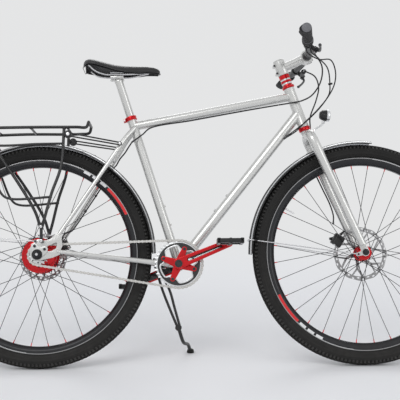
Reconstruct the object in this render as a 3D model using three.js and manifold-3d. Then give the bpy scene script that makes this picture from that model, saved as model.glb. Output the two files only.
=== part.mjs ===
// Touring bicycle standing on its side stand.
// It is drawn upright, in millimetres, with +X forwards, +Y to the rider's left and +Z up, and the whole
// group is then leant onto the stand. The drive side is the rider's right, on the -Y side.
import * as THREE from 'three';
import { mergeVertices } from 'three/addons/utils/BufferGeometryUtils.js';
import Module from 'manifold-3d';

const wasm = await Module();
wasm.setup();

// Wheels and where they stand
const wheelbase = 1058;
const tyreRadius = 364;
const tyreWidth = 54;
const casingThickness = 3;
const beadDepth = 5;
const rimEdgeRadius = 317.5;
const rimWidth = 28;
const rimWall = 2.4;
const rimDepth = 22;
const rimFloorWidth = 12;
const spokeDiameter = 2;
const spokesPerWheel = 32;

// Frame geometry
const chainstayRun = 452;
const bracketDrop = 33;
const seatTubeLength = 520;
const topTubeAtSeat = 487;
const rake = 31;
const crownHeight = 448;
const headTubeLength = 142;
const downTubeOnHead = 51;
const topTubeBelowTop = 29;
const seatAngle = 72.3;
const headAngle = 70.5;
const leanAngle = 12;

// Frame tubes, by diameter
const headTubeDiameter = 35;
const topTubeDiameter = 28.6;
const downTubeDiameter = 34.9;
const seatTubeDiameter = 29.8;
const chainstayDiameter = 18;
const seatStayDiameter = 16;
const stayEndDiameter = 13;
const tubeWall = 1.3;
const bracketShellDiameter = 42;
const bracketShellWidth = 68;
const bracketShellWall = 3.4;

// Rear end
const rearHubSpacing = 135;
const dropoutThickness = 6;
const frontHubSpacing = 100;
const forkEndThickness = 6;

// Running gaps
const gap = 0.3;
const runningGap = 0.6;

// Drive
const pitch = 12.7;
const ringTeeth = 38;
const sprocketTeeth = 16;
const chainline = 52;
const crankLength = 175;
const crankAngle = 22;
const pedalLength = 84;
const pedalWidth = 92;
const pedalThickness = 22;

// Cockpit and seat
const steererDiameter = 28.6;
const stemReach = 93.7;
const stemHeight = 236;
const barDiameter = 22.2;
const barClampDiameter = 31.8;
const barHalfWidth = 338;
const barSweep = 46;
const barDrop = 7;
const gripDiameter = 32;
const postDiameter = 27.2;
const postTop = 660;
const postLength = 330;
const saddleLength = 258;
const saddleWidth = 146;

// Rotors and mudguards
const frontRotorDiameter = 180;
const rearRotorDiameter = 160;
const rotorThickness = 2;
const guardCrownRadius = 377;
const guardThickness = 2;
const guardWidth = 60;
const guardSkirt = 13;
const frontGuardEnds = [84, 180];
const frontGuardSteps = 13;
const rearGuardEnds = [1, 196];
const rearGuardSteps = 24;
const guardSeatDiameter = 8;

// Colours and finishes
const finish = (color, roughness,
  metalness) => new THREE.MeshStandardMaterial({ color, roughness, metalness });
const silverPaint = finish(0xc9cbc8, 0.38, 0.65);
const polished = finish(0xd7d8da, 0.25, 0.9);
const redAnodised = finish(0xd4121c, 0.35, 0.6);
const blackPaint = finish(0x141416, 0.4, 0.2);
const blackPlastic = finish(0x18181a, 0.6, 0);
const blackRubber = finish(0x101011, 0.85, 0);
const steel = finish(0x9a9ca0, 0.35, 0.85);
const clearLens = finish(0xdfe6ec, 0.1, 0);
const saddleLeather = finish(0x121214, 0.45, 0);

const roundSides = 10;
const boreSides = 6;
const wheelSides = 32;
const weldDistance = 0.0001;
const full = Math.PI * 2;
const vec = (x, y, z) => new THREE.Vector3(x, y, z);
const radians = THREE.MathUtils.degToRad;
const cosine = (degrees) => Math.cos(radians(degrees));
const sine = (degrees) => Math.sin(radians(degrees));

// Fixed places worked out from the sizes above
const rearAxle = vec(0, 0, tyreRadius);
const frontAxle = vec(wheelbase, 0, tyreRadius);
const bracket = vec(chainstayRun, 0, tyreRadius - bracketDrop);

// A place on the steering axis: up the axis from level with the front axle, forward of it, and to the left
const steerUp = vec(-cosine(headAngle), 0, sine(headAngle));
const steerForward = vec(sine(headAngle), 0, cosine(headAngle));
const steerFoot = frontAxle.clone().addScaledVector(steerForward, -rake);
const steer = (up, forward = 0, left = 0) => steerFoot.clone()
  .addScaledVector(steerUp, up).addScaledVector(steerForward, forward).add(vec(0, left, 0));

// A place on the seat tube: up the tube from the bottom bracket, forward of it, and to the left
const seatUp = vec(-cosine(seatAngle), 0, sine(seatAngle));
const seatForward = vec(sine(seatAngle), 0, cosine(seatAngle));
const seat = (up, forward = 0, left = 0) => bracket.clone()
  .addScaledVector(seatUp, up).addScaledVector(seatForward, forward).add(vec(0, left, 0));

// Heights along the steering axis
const headLow = crownHeight + 13;
const headHigh = headLow + headTubeLength;
const lowerCup = [crownHeight + gap, headLow - gap];
const upperCup = [headHigh + gap, headHigh + 14];
const spacerFoot = upperCup[1] + gap;
const spacerHeights = [8, 4, 8];
const topCollarHeight = 14.4;
const stemClampLength = 50;
const stemFoot = spacerHeights.reduce((foot, height) => foot + height, spacerFoot) + topCollarHeight + gap;
const stemTop = stemFoot + stemClampLength;

// Merges shared corners, drops collapsed faces and makes the faces point outwards
function closedForm(geometry) {
  const bare = geometry.clone();
  bare.deleteAttribute('normal');
  bare.deleteAttribute('uv');
  const form = mergeVertices(bare, weldDistance);
  const place = form.getAttribute('position');
  const faces = [];
  const [a, b, c] = [vec(0, 0, 0), vec(0, 0, 0), vec(0, 0, 0)];
  let volume = 0;
  for (let i = 0; i < form.index.count; i += 3) {
    const [p, q, r] = [form.index.getX(i), form.index.getX(i + 1), form.index.getX(i + 2)];
    if (p === q || q === r || r === p) continue;
    faces.push([p, q, r]);
    a.fromBufferAttribute(place, p);
    b.fromBufferAttribute(place, q);
    c.fromBufferAttribute(place, r);
    volume += a.dot(b.cross(c));
  }
  form.setIndex(faces.flatMap(([p, q, r]) => (volume < 0 ? [p, r, q] : [p, q, r])));
  return form;
}

function toSolid(geometry) {
  const form = closedForm(geometry);
  return new wasm.Manifold(new wasm.Mesh({
    numProp: 3,
    vertProperties: new Float32Array(form.getAttribute('position').array),
    triVerts: new Uint32Array(form.index.array),
  }));
}

function toGeometry(solid) {
  const mesh = solid.getMesh();
  const geometry = new THREE.BufferGeometry();
  geometry.setAttribute('position', new THREE.BufferAttribute(new Float32Array(mesh.vertProperties), 3));
  geometry.setIndex(new THREE.BufferAttribute(new Uint32Array(mesh.triVerts), 1));
  return geometry;
}

const unite = (forms) => forms.map(toSolid).reduce((whole, next) => whole.add(next));
const join = (...forms) => toGeometry(unite(forms.flat()));
const cut = (form, ...tools) => toGeometry(toSolid(form).subtract(unite(tools.flat())));

// Turns a form made along +Y so that it starts at one point and runs towards another
function aim(form, from, to) {
  const along = to.clone().sub(from).normalize();
  const turn = new THREE.Quaternion().setFromUnitVectors(vec(0, 1, 0), along);
  return form.applyQuaternion(turn).translate(from.x, from.y, from.z);
}

function rod(from, to, radius, endRadius = radius, sides = roundSides) {
  const length = from.distanceTo(to);
  return aim(new THREE.CylinderGeometry(endRadius, radius, length, sides).translate(0, length / 2, 0), from,
    to);
}

// A closed profile of [radius, distance] pairs turned about the line from one point towards another
function turned(profile, from, to, sides = roundSides) {
  const points = profile.map(([radius, distance]) => new THREE.Vector2(radius, distance));
  const onAxis = points[0].x === 0 && points[points.length - 1].x === 0;
  if (!onAxis) points.push(points[0].clone());
  return aim(new THREE.LatheGeometry(points, sides), from, to);
}

const ring = (outer, inner, start, end, from, to, sides = roundSides) => turned(
  [[inner, start], [outer, start], [outer, end], [inner, end]], from, to, sides);

// A round bar that follows the given points
function bent(points, radius, steps, sides = 8) {
  const corners = Array.from({ length: sides }, (_, i) => new THREE.Vector2(
    radius * Math.cos(full * i / sides), radius * Math.sin(full * i / sides)));
  return new THREE.ExtrudeGeometry(new THREE.Shape(corners), {
    steps, extrudePath: new THREE.CatmullRomCurve3(points, false, 'centripetal'), bevelEnabled: false,
  });
}

// A round tube through the given points, with a radius at each of them
function tapered(points, radii, sides = roundSides) {
  const corners = [];
  const faces = [];
  const last = points.length - 1;
  const along = points.map((point,
    i) => points[Math.min(i + 1, last)].clone().sub(points[Math.max(i - 1, 0)]).normalize());
  const across = along[0].clone().cross(vec(0, 1, 0)).normalize();
  along.forEach((heading, i) => {
    if (i) across.applyQuaternion(new THREE.Quaternion().setFromUnitVectors(along[i - 1], heading));
    const upwards = heading.clone().cross(across);
    for (let j = 0; j < sides; j++) {
      const turn = full * j / sides;
      corners.push(...points[i].clone().addScaledVector(across, radii[i] * Math.cos(turn))
        .addScaledVector(upwards, radii[i] * Math.sin(turn)).toArray());
    }
  });
  for (let i = 0; i < last; i++) {
    for (let j = 0; j < sides; j++) {
      const [a, b] = [i * sides + j, i * sides + (j + 1) % sides];
      faces.push(a, b, b + sides, a, b + sides, a + sides);
    }
  }
  for (let j = 1; j + 1 < sides; j++) {
    faces.push(0, j + 1, j, last * sides, last * sides + j, last * sides + j + 1);
  }
  const geometry = new THREE.BufferGeometry();
  geometry.setAttribute('position', new THREE.BufferAttribute(new Float32Array(corners), 3));
  geometry.setIndex(faces);
  return geometry;
}

// A flat plate in the XZ plane, between two places along Y
function plate(outline, from, to, holes = []) {
  const shape = new THREE.Shape(outline.map(([x, z]) => new THREE.Vector2(x, z)));
  holes.forEach((hole) => shape.holes.push(new THREE.Path(hole.map(([x, z]) => new THREE.Vector2(x, z)))));
  return new THREE.ExtrudeGeometry(shape, { depth: to - from, bevelEnabled: false, steps: 1 })
    .rotateX(Math.PI / 2).translate(0, to, 0);
}

const block = (from, to) => new THREE.BoxGeometry(to.x - from.x, to.y - from.y, to.z - from.z)
  .translate((from.x + to.x) / 2, (from.y + to.y) / 2, (from.z + to.z) / 2);

const arc = (centre, radius, start, end, count) => Array.from({ length: count }, (_, i) => {
  const angle = start + (end - start) * i / (count - 1);
  return [centre[0] + radius * cosine(angle), centre[1] + radius * sine(angle)];
});
const circle = (centre, radius, count = roundSides) => arc(centre, radius, 0, 360 - 360 / count, count);

// The outline around two discs and the straight edges between them
function slot(one, radiusOne, two, radiusTwo, count = 7) {
  const [dx, dz] = [two[0] - one[0], two[1] - one[1]];
  const heading = THREE.MathUtils.radToDeg(Math.atan2(dz, dx));
  const lift = THREE.MathUtils.radToDeg(Math.acos((radiusOne - radiusTwo) / Math.hypot(dx, dz)));
  return [
    ...arc(one, radiusOne, heading + lift, heading + 360 - lift, count),
    ...arc(two, radiusTwo, heading - lift, heading + lift, count),
  ];
}

const bicycle = new THREE.Group();
const upright = new THREE.Group();
bicycle.add(upright);

function part(name, geometry, material) {
  const mesh = new THREE.Mesh(closedForm(geometry), material.clone());
  mesh.name = name;
  upright.add(mesh);
}

const left = 1;
const right = -1;
const bothSides = [right, left];

// Frame: one welded silver frame of round steel tubes
const stayInnerFace = rearHubSpacing / 2;
const dropoutOuterFace = stayInnerFace + dropoutThickness;
const stayEndOut = stayInnerFace + stayEndDiameter / 4;
const chainstayEnd = vec(62, 0, tyreRadius + 10);
const seatStayEnd = vec(68, 0, tyreRadius + 64);
const chainstayBend = vec(bracket.x - 81, 0, bracket.z + 7);
const chainstayBendOut = 35;
const chainstayRootOut = 24;
const chainstayRoot = vec(bracket.x - 14, 0, bracket.z + 1.5);
const seatStayRootOut = 17;
const seatStayRoot = seat(478, 2);
const seatStayBend = vec(250, 0, 705);
const seatStayBendOut = 40;
const side = (place, out) => vec(place.x, out, place.z);
const bossDiameter = 9;
const bossHeight = 3.5;
const bottleBossSeat = [136, 200];
const bottleBossDown = [215, 279];
const downTubeEnd = steer(headLow + downTubeOnHead);
const topTubeEnd = steer(headHigh - topTubeBelowTop);
const topTubeStart = seat(topTubeAtSeat);
const downTubeRun = downTubeEnd.clone().sub(bracket).normalize();
const downTubeOut = vec(-downTubeRun.z, 0, downTubeRun.x);
const guardBridge = vec(235, 0, 685);
const guardBridgeDiameter = 12;
const stayBridge = vec(bracket.x - 62, 0, bracket.z + 7);
const rackTab = vec(262, 0, 727);
const rackTabOut = [34, 49];

// The place just above a mudguard's crown, on the line from the axle to the given point
function guardSeat(axle, place, ends, steps) {
  const away = place.clone().sub(axle).normalize();
  const step = radians(ends[1] - ends[0]) / steps;
  const turn = (Math.atan2(away.z, away.x) - radians(ends[0])) / step;
  const reach = guardCrownRadius * Math.cos(step / 2) / Math.cos((turn - Math.floor(turn) - 1 / 2) * step);
  return axle.clone().addScaledVector(away, reach + 2 * gap);
}

function stays(sides) {
  const thick = chainstayDiameter / 2;
  const thin = stayEndDiameter / 2;
  const stayThick = seatStayDiameter / 2;
  return bothSides.flatMap((hand) => [
    tapered([side(chainstayRoot, hand * chainstayRootOut), side(chainstayBend, hand * chainstayBendOut),
      side(chainstayEnd, hand * stayEndOut)], [thick, thick, thin], sides),
    tapered([side(seatStayRoot, hand * seatStayRootOut), side(seatStayBend, hand * seatStayBendOut),
      side(seatStayEnd, hand * stayEndOut)], [stayThick, stayThick, thin], sides),
  ]);
}

function frameTubes() {
  const bossRadius = bossDiameter / 2;
  const seatRadius = seatTubeDiameter / 2;
  const downRadius = downTubeDiameter / 2;
  const bosses = [
    ...bottleBossSeat.map((up) => rod(seat(up, seatRadius - tubeWall), seat(up, seatRadius + bossHeight),
      bossRadius, bossRadius, 6)),
    ...bottleBossDown.map((run) => {
      const foot = bracket.clone().addScaledVector(downTubeRun, run);
      return rod(foot.clone().addScaledVector(downTubeOut, downRadius - tubeWall),
        foot.clone().addScaledVector(downTubeOut, downRadius + bossHeight), bossRadius, bossRadius, 6);
    }),
  ];
  const dropoutOutline = [
    [seatStayEnd.x + 8, seatStayEnd.z + 10], [seatStayEnd.x + 9, seatStayEnd.z - 16],
    [chainstayEnd.x + 14, chainstayEnd.z + 9], [chainstayEnd.x + 10, chainstayEnd.z - 10],
    [26, tyreRadius - 15], [0, tyreRadius - 19], [-20, tyreRadius - 10], [-24, tyreRadius + 8],
    [-16, tyreRadius + 34], [2, tyreRadius + 50], [20, tyreRadius + 45], [44, tyreRadius + 52],
    [seatStayEnd.x - 9, seatStayEnd.z + 6],
  ];
  const axleSlot = slot([-4, tyreRadius], axleHoleRadius, [4, tyreRadius], axleHoleRadius, 5);
  return [
    rod(steer(headLow), steer(headHigh), headTubeDiameter / 2, headTubeDiameter / 2, 16),
    rod(topTubeStart, topTubeEnd, topTubeDiameter / 2),
    rod(bracket, downTubeEnd, downRadius),
    rod(bracket, seat(seatTubeLength), seatRadius),
    rod(side(bracket, -bracketShellWidth / 2), side(bracket, bracketShellWidth / 2),
      bracketShellDiameter / 2, bracketShellDiameter / 2, 16),
    ...stays(10),
    rod(side(guardBridge, -seatStayBendOut), side(guardBridge, seatStayBendOut), guardBridgeDiameter / 2,
      guardBridgeDiameter / 2, 8),
    rod(side(stayBridge, -chainstayBendOut + tubeWall), side(stayBridge, chainstayBendOut - tubeWall),
      guardBridgeDiameter / 2, guardBridgeDiameter / 2, 8),
    ...bothSides.map((hand) => rod(side(rackTab, hand * rackTabOut[0]), side(rackTab, hand * rackTabOut[1]),
      bossRadius + tubeWall, bossRadius + tubeWall, 6)),
    rod(guardBridge, guardSeat(rearAxle, guardBridge, rearGuardEnds, rearGuardSteps), guardSeatDiameter / 2,
      guardSeatDiameter / 2, 6),
    plate(dropoutOutline, -dropoutOuterFace, -stayInnerFace, [axleSlot]),
    plate(dropoutOutline, stayInnerFace, dropoutOuterFace, [axleSlot]),
    ...bosses,
  ];
}

const axleDiameter = 10;
const axleHoleRadius = axleDiameter / 2 + gap;
const headBore = headTubeDiameter / 2 - 2.2;
const seatBore = seatTubeDiameter / 2 - 1;
const bracketBore = bracketShellDiameter / 2 - bracketShellWall;
const bores = [
  rod(steer(headLow - gap), steer(headHigh + gap), headBore, headBore, 10),
  rod(topTubeStart, topTubeEnd, topTubeDiameter / 2 - tubeWall, topTubeDiameter / 2 - tubeWall, boreSides),
  rod(bracket, downTubeEnd, downTubeDiameter / 2 - tubeWall, downTubeDiameter / 2 - tubeWall, boreSides),
  rod(bracket, seat(seatTubeLength + gap), seatBore),
  rod(side(bracket, -bracketShellWidth / 2 - gap), side(bracket, bracketShellWidth / 2 + gap), bracketBore,
    bracketBore),
];
part('frame', cut(join(frameTubes()), bores), silverPaint);

// Sliding dropout plates with their slotted bolts, one on the outside of each frame end
const slideThickness = 4;
const slideFace = dropoutOuterFace + gap;
const slideBolts = [[-8, tyreRadius + 27], [24, tyreRadius + 17]];
const slideBoltRadius = 5;
function dropoutSlide(hand) {
  const outline = [
    [-20, tyreRadius + 34], [-19, tyreRadius + 12], [-15, tyreRadius - 9], [0, tyreRadius - 15],
    [14, tyreRadius - 8], [33, tyreRadius + 8], [35, tyreRadius + 20], [24, tyreRadius + 27],
    [6, tyreRadius + 25], [-6, tyreRadius + 38],
  ];
  const faces = [slideFace, slideFace + slideThickness].map((face) => hand * face).sort((a, b) => a - b);
  const heads = slideBolts.map(([x, z]) => rod(vec(x, hand * (slideFace + slideThickness / 2), z),
    vec(x, hand * (slideFace + slideThickness + 3), z), slideBoltRadius, slideBoltRadius, 10));
  return join(plate(outline, faces[0], faces[1], [circle([0, tyreRadius], axleHoleRadius, 12)]), heads);
}

// Seat collar: a red split clamp with its pinch bolt behind the tube
const collarHeight = 13;
const collarThickness = 4;
function seatCollar() {
  const inner = seatTubeDiameter / 2 + gap;
  const outer = inner + collarThickness;
  const foot = seatTubeLength - collarHeight + 2;
  const lug = rod(seat(foot + collarHeight / 2, -outer - 1, -9),
    seat(foot + collarHeight / 2, -outer - 1, 9), 5, 5, 8);
  const split = block(vec(-outer * 2, -gap * 3, -collarHeight), vec(-inner / 2, gap * 3, collarHeight * 2))
    .applyMatrix4(new THREE.Matrix4().makeBasis(seatForward, vec(0, 1, 0), seatUp).setPosition(seat(foot)));
  const band = ring(outer, inner, foot, foot + collarHeight, seat(0), seat(1));
  const clearance = rod(seat(foot - collarHeight), seat(foot + collarHeight * 2), inner);
  return cut(join(band, lug), clearance, split);
}
part('seat_collar', seatCollar(), redAnodised);

// Bottom bracket: the bearing unit in the shell
const spindleDiameter = 18;
const unitLip = 2.5;
const spindleBore = spindleDiameter / 2 / Math.cos(Math.PI / roundSides) + gap;
part('bottom_bracket', turned([
  [spindleBore, -bracketShellWidth / 2 - unitLip],
  [bracketShellDiameter / 2 - 1, -bracketShellWidth / 2 - unitLip],
  [bracketShellDiameter / 2 - 1, -bracketShellWidth / 2 - gap],
  [bracketBore - gap, -bracketShellWidth / 2 - gap], [bracketBore - gap, bracketShellWidth / 2 + gap],
  [bracketShellDiameter / 2 - 1, bracketShellWidth / 2 + gap],
  [bracketShellDiameter / 2 - 1, bracketShellWidth / 2 + unitLip],
  [spindleBore, bracketShellWidth / 2 + unitLip],
], bracket, side(bracket, 1)), steel);

// Headset: red cups pressed against the ends of the head tube
const steererRadius = steererDiameter / 2;
const cupBore = steererRadius + runningGap;
const cupRadius = headTubeDiameter / 2 + 2.4;
part('lower_headset_cup', turned([
  [cupBore, lowerCup[0]], [cupRadius - 1.5, lowerCup[0]], [cupRadius, lowerCup[0] + 4],
    [cupRadius, lowerCup[1] - 3],
  [cupRadius - 1.5, lowerCup[1]], [cupBore, lowerCup[1]],
], steer(0), steer(1), 16), redAnodised);
part('upper_headset_cup', turned([
  [cupBore, upperCup[0]], [cupRadius - 1, upperCup[0]], [cupRadius + 1.4, upperCup[0] + 4],
  [cupRadius - 3, upperCup[0] + 9], [cupRadius - 4, upperCup[1]], [cupBore, upperCup[1]],
], steer(0), steer(1), 16), redAnodised);

// Spacers and a red collar on the steerer between the upper cup and the stem
const spacerRadius = steererRadius + 2.8;
const spacerBore = steererRadius + gap;
const spacerGroove = 0.8;
function spacerStack() {
  const profile = [[spacerBore, spacerFoot]];
  let foot = spacerFoot;
  spacerHeights.forEach((height) => {
    profile.push([spacerRadius, foot], [spacerRadius, foot + height - spacerGroove],
      [spacerRadius - spacerGroove, foot + height - spacerGroove],
        [spacerRadius - spacerGroove, foot + height]);
    foot += height;
  });
  profile.push([spacerRadius + 1.2, foot], [spacerRadius + 1.2, stemFoot - gap],
    [spacerBore, stemFoot - gap]);
  return turned(profile, steer(0), steer(1));
}
part('steerer_spacers', spacerStack(), polished);

// Fork: hollow steerer, crown and straight blades leant forward for the rake
const bladeDiameter = 33;
const bladeEndDiameter = 25;
const bladeOut = 50.5;
const bladeEndOut = 60;
const bladeShoulder = 402;
const bladeFoot = 26;
const bladeWall = 1.6;
const steererTop = stemTop - 2;
const forkEndIn = frontHubSpacing / 2;
function forkBlades(inset, sides, out) {
  const crownRadius = bladeDiameter / 2 - inset;
  const footRadius = bladeEndDiameter / 2 - inset;
  return bothSides.flatMap((hand) => {
    const shoulder = steer(bladeShoulder, 5, hand * bladeOut);
    const foot = steer(bladeFoot + inset * 6, rake - 1, hand * bladeEndOut);
    const crown = [steer(crownHeight - bladeDiameter / 2, 3, hand * out),
      steer(crownHeight - bladeDiameter * 0.6, 3, hand * bladeOut * 0.6),
      steer(bladeShoulder + bladeDiameter * 0.4, 4, hand * bladeOut * 0.9)];
    return [
      tapered([...crown, shoulder, foot], [crownRadius, crownRadius, crownRadius, crownRadius, footRadius],
        sides),
    ];
  });
}
const forkEye = vec(frontAxle.x - 26, 0, frontAxle.z - 7);
function fork() {
  const endOutline = [
    ...slot([frontAxle.x, frontAxle.z], 13, [steer(bladeFoot + 16, rake).x, steer(bladeFoot + 16, rake).z],
      11, 6),
  ];
  const eyeOutline = slot([frontAxle.x, frontAxle.z], 9, [forkEye.x, forkEye.z], 6, 5);
  const ends = bothSides.flatMap((hand) => {
    const faces = [forkEndIn, forkEndIn + forkEndThickness].map((face) => hand * face).sort((a,
      b) => a - b);
    return [plate(endOutline, faces[0], faces[1]), plate(eyeOutline, faces[0], faces[1])];
  });
  const axleHole = rod(side(frontAxle, -frontHubSpacing), side(frontAxle, frontHubSpacing), axleHoleRadius);
  const crown = steer(crownHeight - bladeDiameter / 2, 3);
  const seatBolt = rod(crown, guardSeat(frontAxle, crown, frontGuardEnds, frontGuardSteps),
    guardSeatDiameter / 2,
    guardSeatDiameter / 2, 6);
  const steerer = rod(steer(crownHeight - bladeDiameter / 2), steer(steererTop), steererRadius);
  const race = rod(steer(crownHeight - bladeDiameter / 3), steer(crownHeight), headTubeDiameter / 2);
  const steererBore = rod(steer(crownHeight - bladeDiameter * 0.8), steer(steererTop + gap),
    steererRadius - bladeWall,
    steererRadius - bladeWall, 8);
  return cut(join(forkBlades(0, roundSides, 2), ends, steerer, race, seatBolt), steererBore,
    forkBlades(bladeWall, boreSides, 8), axleHole);
}
part('fork', fork(), silverPaint);

// Stem, its face plate and the cap on the steerer
const barCentre = steer(stemHeight + crownHeight, stemReach);
const stemBore = steererRadius + gap;
const stemWall = 5;
const faceHeight = 42;
const barSleeve = barClampDiameter / 2 + stemWall;
const barBore = barClampDiameter / 2 / Math.cos(Math.PI / roundSides) + gap;
const faceBoltRadius = 3;
function stemForms() {
  const clampMid = (stemFoot + stemTop) / 2;
  const sleeve = rod(steer(stemFoot), steer(stemTop), steererRadius + stemWall);
  const reachEnd = stemReach - barSleeve / 2;
  const neck = rod(steer(clampMid, stemBore / 2), steer(stemHeight + crownHeight, reachEnd), 16, 14.5);
  const hub = rod(side(barCentre, -faceHeight / 2), side(barCentre, faceHeight / 2), barSleeve);
  const pinch = [stemFoot + 11, stemTop - 11].map((up) => rod(steer(up, -steererRadius - stemWall - 1, -11),
    steer(up, -steererRadius - stemWall - 1, 11), 5, 5, 8));
  return join(sleeve, neck, hub, pinch);
}
const faceSplit = (front) => {
  const reach = barSleeve * 3;
  const nearFace = front ? 0 : -reach;
  const farFace = front ? reach : gap * 2;
  return block(vec(nearFace, -faceHeight, -reach), vec(farFace, faceHeight, reach))
    .applyMatrix4(new THREE.Matrix4().makeBasis(steerForward, vec(0, 1, 0),
      steerUp).setPosition(barCentre));
};
const barHole = rod(side(barCentre, -faceHeight), side(barCentre, faceHeight), barBore);
const steererHole = rod(steer(stemFoot - stemBore), steer(stemTop + stemBore), stemBore);
const pinchGap = block(vec(-steererDiameter * 1.5, -1, stemFoot - stemBore),
  vec(-stemBore / 2, 1, stemTop + stemBore))
  .applyMatrix4(new THREE.Matrix4().makeBasis(steerForward, vec(0, 1, 0), steerUp).setPosition(steerFoot));
const capRadius = steererRadius + stemWall - 1;
const topCap = turned([[0, stemTop - 1], [capRadius, stemTop - 1], [capRadius, stemTop + 3],
  [capRadius - 2, stemTop + 4.5], [0, stemTop + 4.5]], steer(0), steer(1));
part('stem', join(cut(stemForms(), steererHole, barHole, pinchGap, faceSplit(true)), topCap), polished);
function facePlate() {
  const hub = rod(side(barCentre, -faceHeight / 2), side(barCentre, faceHeight / 2), barSleeve);
  const shell = cut(hub, barHole, faceSplit(false));
  const heads = bothSides.flatMap((hand) => bothSides.map((tier) => {
    const foot = barCentre.clone().addScaledVector(steerUp, tier * (barSleeve - faceBoltRadius))
      .add(vec(0, hand * faceHeight * 0.3, 0));
    const from = foot.clone().addScaledVector(steerForward, gap * 2);
    return rod(from, foot.clone().addScaledVector(steerForward, barSleeve * 0.55), faceBoltRadius,
      faceBoltRadius, 6);
  }));
  return cut(join(shell, heads), barHole);
}
part('stem_face_plate', facePlate(), polished);


// Handlebar: a flat bar swept back, thicker in the clamp
const barRadius = barDiameter / 2;
const barBend = 62;
const barEnd = (hand) => barCentre.clone().add(vec(-barSweep, hand * barHalfWidth, -barDrop));
const barKnee = (hand) => barCentre.clone().add(vec(0, hand * barBend, 0));
const onBar = (hand, out) => barKnee(hand).lerp(barEnd(hand), (out - barBend) / (barHalfWidth - barBend));
const bulgeHalf = 30;
part('handlebar', tapered(
  [barEnd(right), barKnee(right), side(barCentre, -bulgeHalf - 8), side(barCentre, -bulgeHalf),
    side(barCentre, bulgeHalf),
    side(barCentre, bulgeHalf + 8), barKnee(left), barEnd(left)],
  [barRadius, barRadius, barRadius, barClampDiameter / 2, barClampDiameter / 2, barRadius, barRadius,
    barRadius],
), blackPaint);

// Grips with a palm wing, and the end discs
const gripLength = 118;
const gripBore = barRadius / Math.cos(Math.PI / roundSides) + gap;
const gripRadius = gripDiameter / 2;
const wingReach = 20;
const gripStart = barHalfWidth - gripLength;
function grip(hand) {
  const from = onBar(hand, gripStart);
  const to = onBar(hand, barHalfWidth);
  const run = to.clone().sub(from).normalize();
  const end = to.clone().addScaledVector(run, 4);
  const wing = new THREE.SphereGeometry(1, 12, 8).scale(wingReach + gripRadius * 0.6, gripLength * 0.34,
    gripRadius * 0.5)
    .translate(...onBar(hand, barHalfWidth - gripLength * 0.36).add(vec(-gripRadius * 0.7, 0,
      0)).toArray());
  const barSpace = rod(onBar(hand, gripStart - gripLength), onBar(hand, barHalfWidth + gap * 2), gripBore);
  return cut(join(rod(from, end, gripRadius), wing), barSpace);
}
part('right_grip', grip(right), blackRubber);
part('left_grip', grip(left), blackRubber);

// Twist shifter between the right grip and the brake lever
const shifterLength = 30;
const shifterRadius = 18.5;
const shifterEnd = gripStart - gap * 2;
const shifterStart = shifterEnd - shifterLength;
function twistShifter() {
  const from = onBar(right, shifterStart);
  const to = onBar(right, shifterEnd);
  const band = turned([[gripBore, 0], [shifterRadius - 2, 0], [shifterRadius, 5], [shifterRadius, 25],
    [shifterRadius - 3, shifterLength], [gripBore, shifterLength]], from, to);
  return band;
}
part('twist_shifter', twistShifter(), blackRubber);

// Brake levers: a body clamped on the bar, and the blade on its pivot
const leverSpace = 31.4;
const leverPlace = shifterStart - leverSpace;
const leverTilt = -38;
const bodyThickness = 18;
const leverForward = vec(cosine(leverTilt), 0, sine(leverTilt));
const leverUp = vec(-sine(leverTilt), 0, cosine(leverTilt));
const leverPoint = (hand, out, forward, up = 0) => onBar(hand, out)
  .addScaledVector(leverForward, forward).addScaledVector(leverUp, up);
const pivotReach = 34;
const pivotOut = leverPlace + 6;
const bladeThickness = 8;
function leverBody(hand) {
  const clampWidth = 14;
  const clamp = rod(onBar(hand, leverPlace - clampWidth / 2), onBar(hand, leverPlace + clampWidth / 2),
    barRadius + 4);
  const tank = bent([leverPoint(hand, leverPlace - 44, 22), leverPoint(hand, leverPlace - 18, 24),
    leverPoint(hand, leverPlace - 2, 27)], bodyThickness / 2, 2, 8);
  const arm = rod(leverPoint(hand, leverPlace, barRadius), leverPoint(hand, leverPlace, 30),
    bodyThickness / 2 - 1,
    bodyThickness / 2 - 1, 8);
  const ears = rod(leverPoint(hand, pivotOut, pivotReach, -bodyThickness / 2),
    leverPoint(hand, pivotOut, pivotReach, bodyThickness / 2),
    6, 6, 8);
  const bladeSpace = rod(leverPoint(hand, pivotOut, pivotReach, -bladeThickness / 2 - 3 * gap),
    leverPoint(hand, pivotOut, pivotReach, bladeThickness / 2 + 3 * gap), 11, 11, 8);
  const pinHole = rod(leverPoint(hand, pivotOut, pivotReach, -bodyThickness),
    leverPoint(hand, pivotOut, pivotReach, bodyThickness), 2.4, 2.4, 6);
  const barSpace = rod(onBar(hand, leverPlace - 60), onBar(hand, leverPlace + 60), gripBore);
  return cut(join(clamp, tank, arm, ears), barSpace, bladeSpace, pinHole);
}
function leverBlade(hand) {
  const root = [pivotOut, pivotReach];
  const path = [root, [pivotOut + 16, pivotReach + 12], [pivotOut + 45, pivotReach + 16],
    [pivotOut + 92, pivotReach + 15]];
  const blade = bent(path.map(([out, forward]) => leverPoint(hand, out, forward)), bladeThickness / 2, 6,
    6);
  const eye = rod(leverPoint(hand, pivotOut, pivotReach, -bladeThickness / 2),
    leverPoint(hand, pivotOut, pivotReach, bladeThickness / 2), 6.5, 6.5, 8);
  const pin = rod(leverPoint(hand, pivotOut, pivotReach, -10.2),
    leverPoint(hand, pivotOut, pivotReach, 10.2), 1.8, 1.8, 6);
  const tip = new THREE.SphereGeometry(5, 6, 4).translate(...leverPoint(hand, ...path[3]).toArray());
  return join(blade, eye, pin, tip);
}
part('right_brake_body', leverBody(right), blackPaint);
part('left_brake_body', leverBody(left), blackPaint);
part('right_brake_lever', leverBlade(right), polished);
part('left_brake_lever', leverBlade(left), polished);

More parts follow.
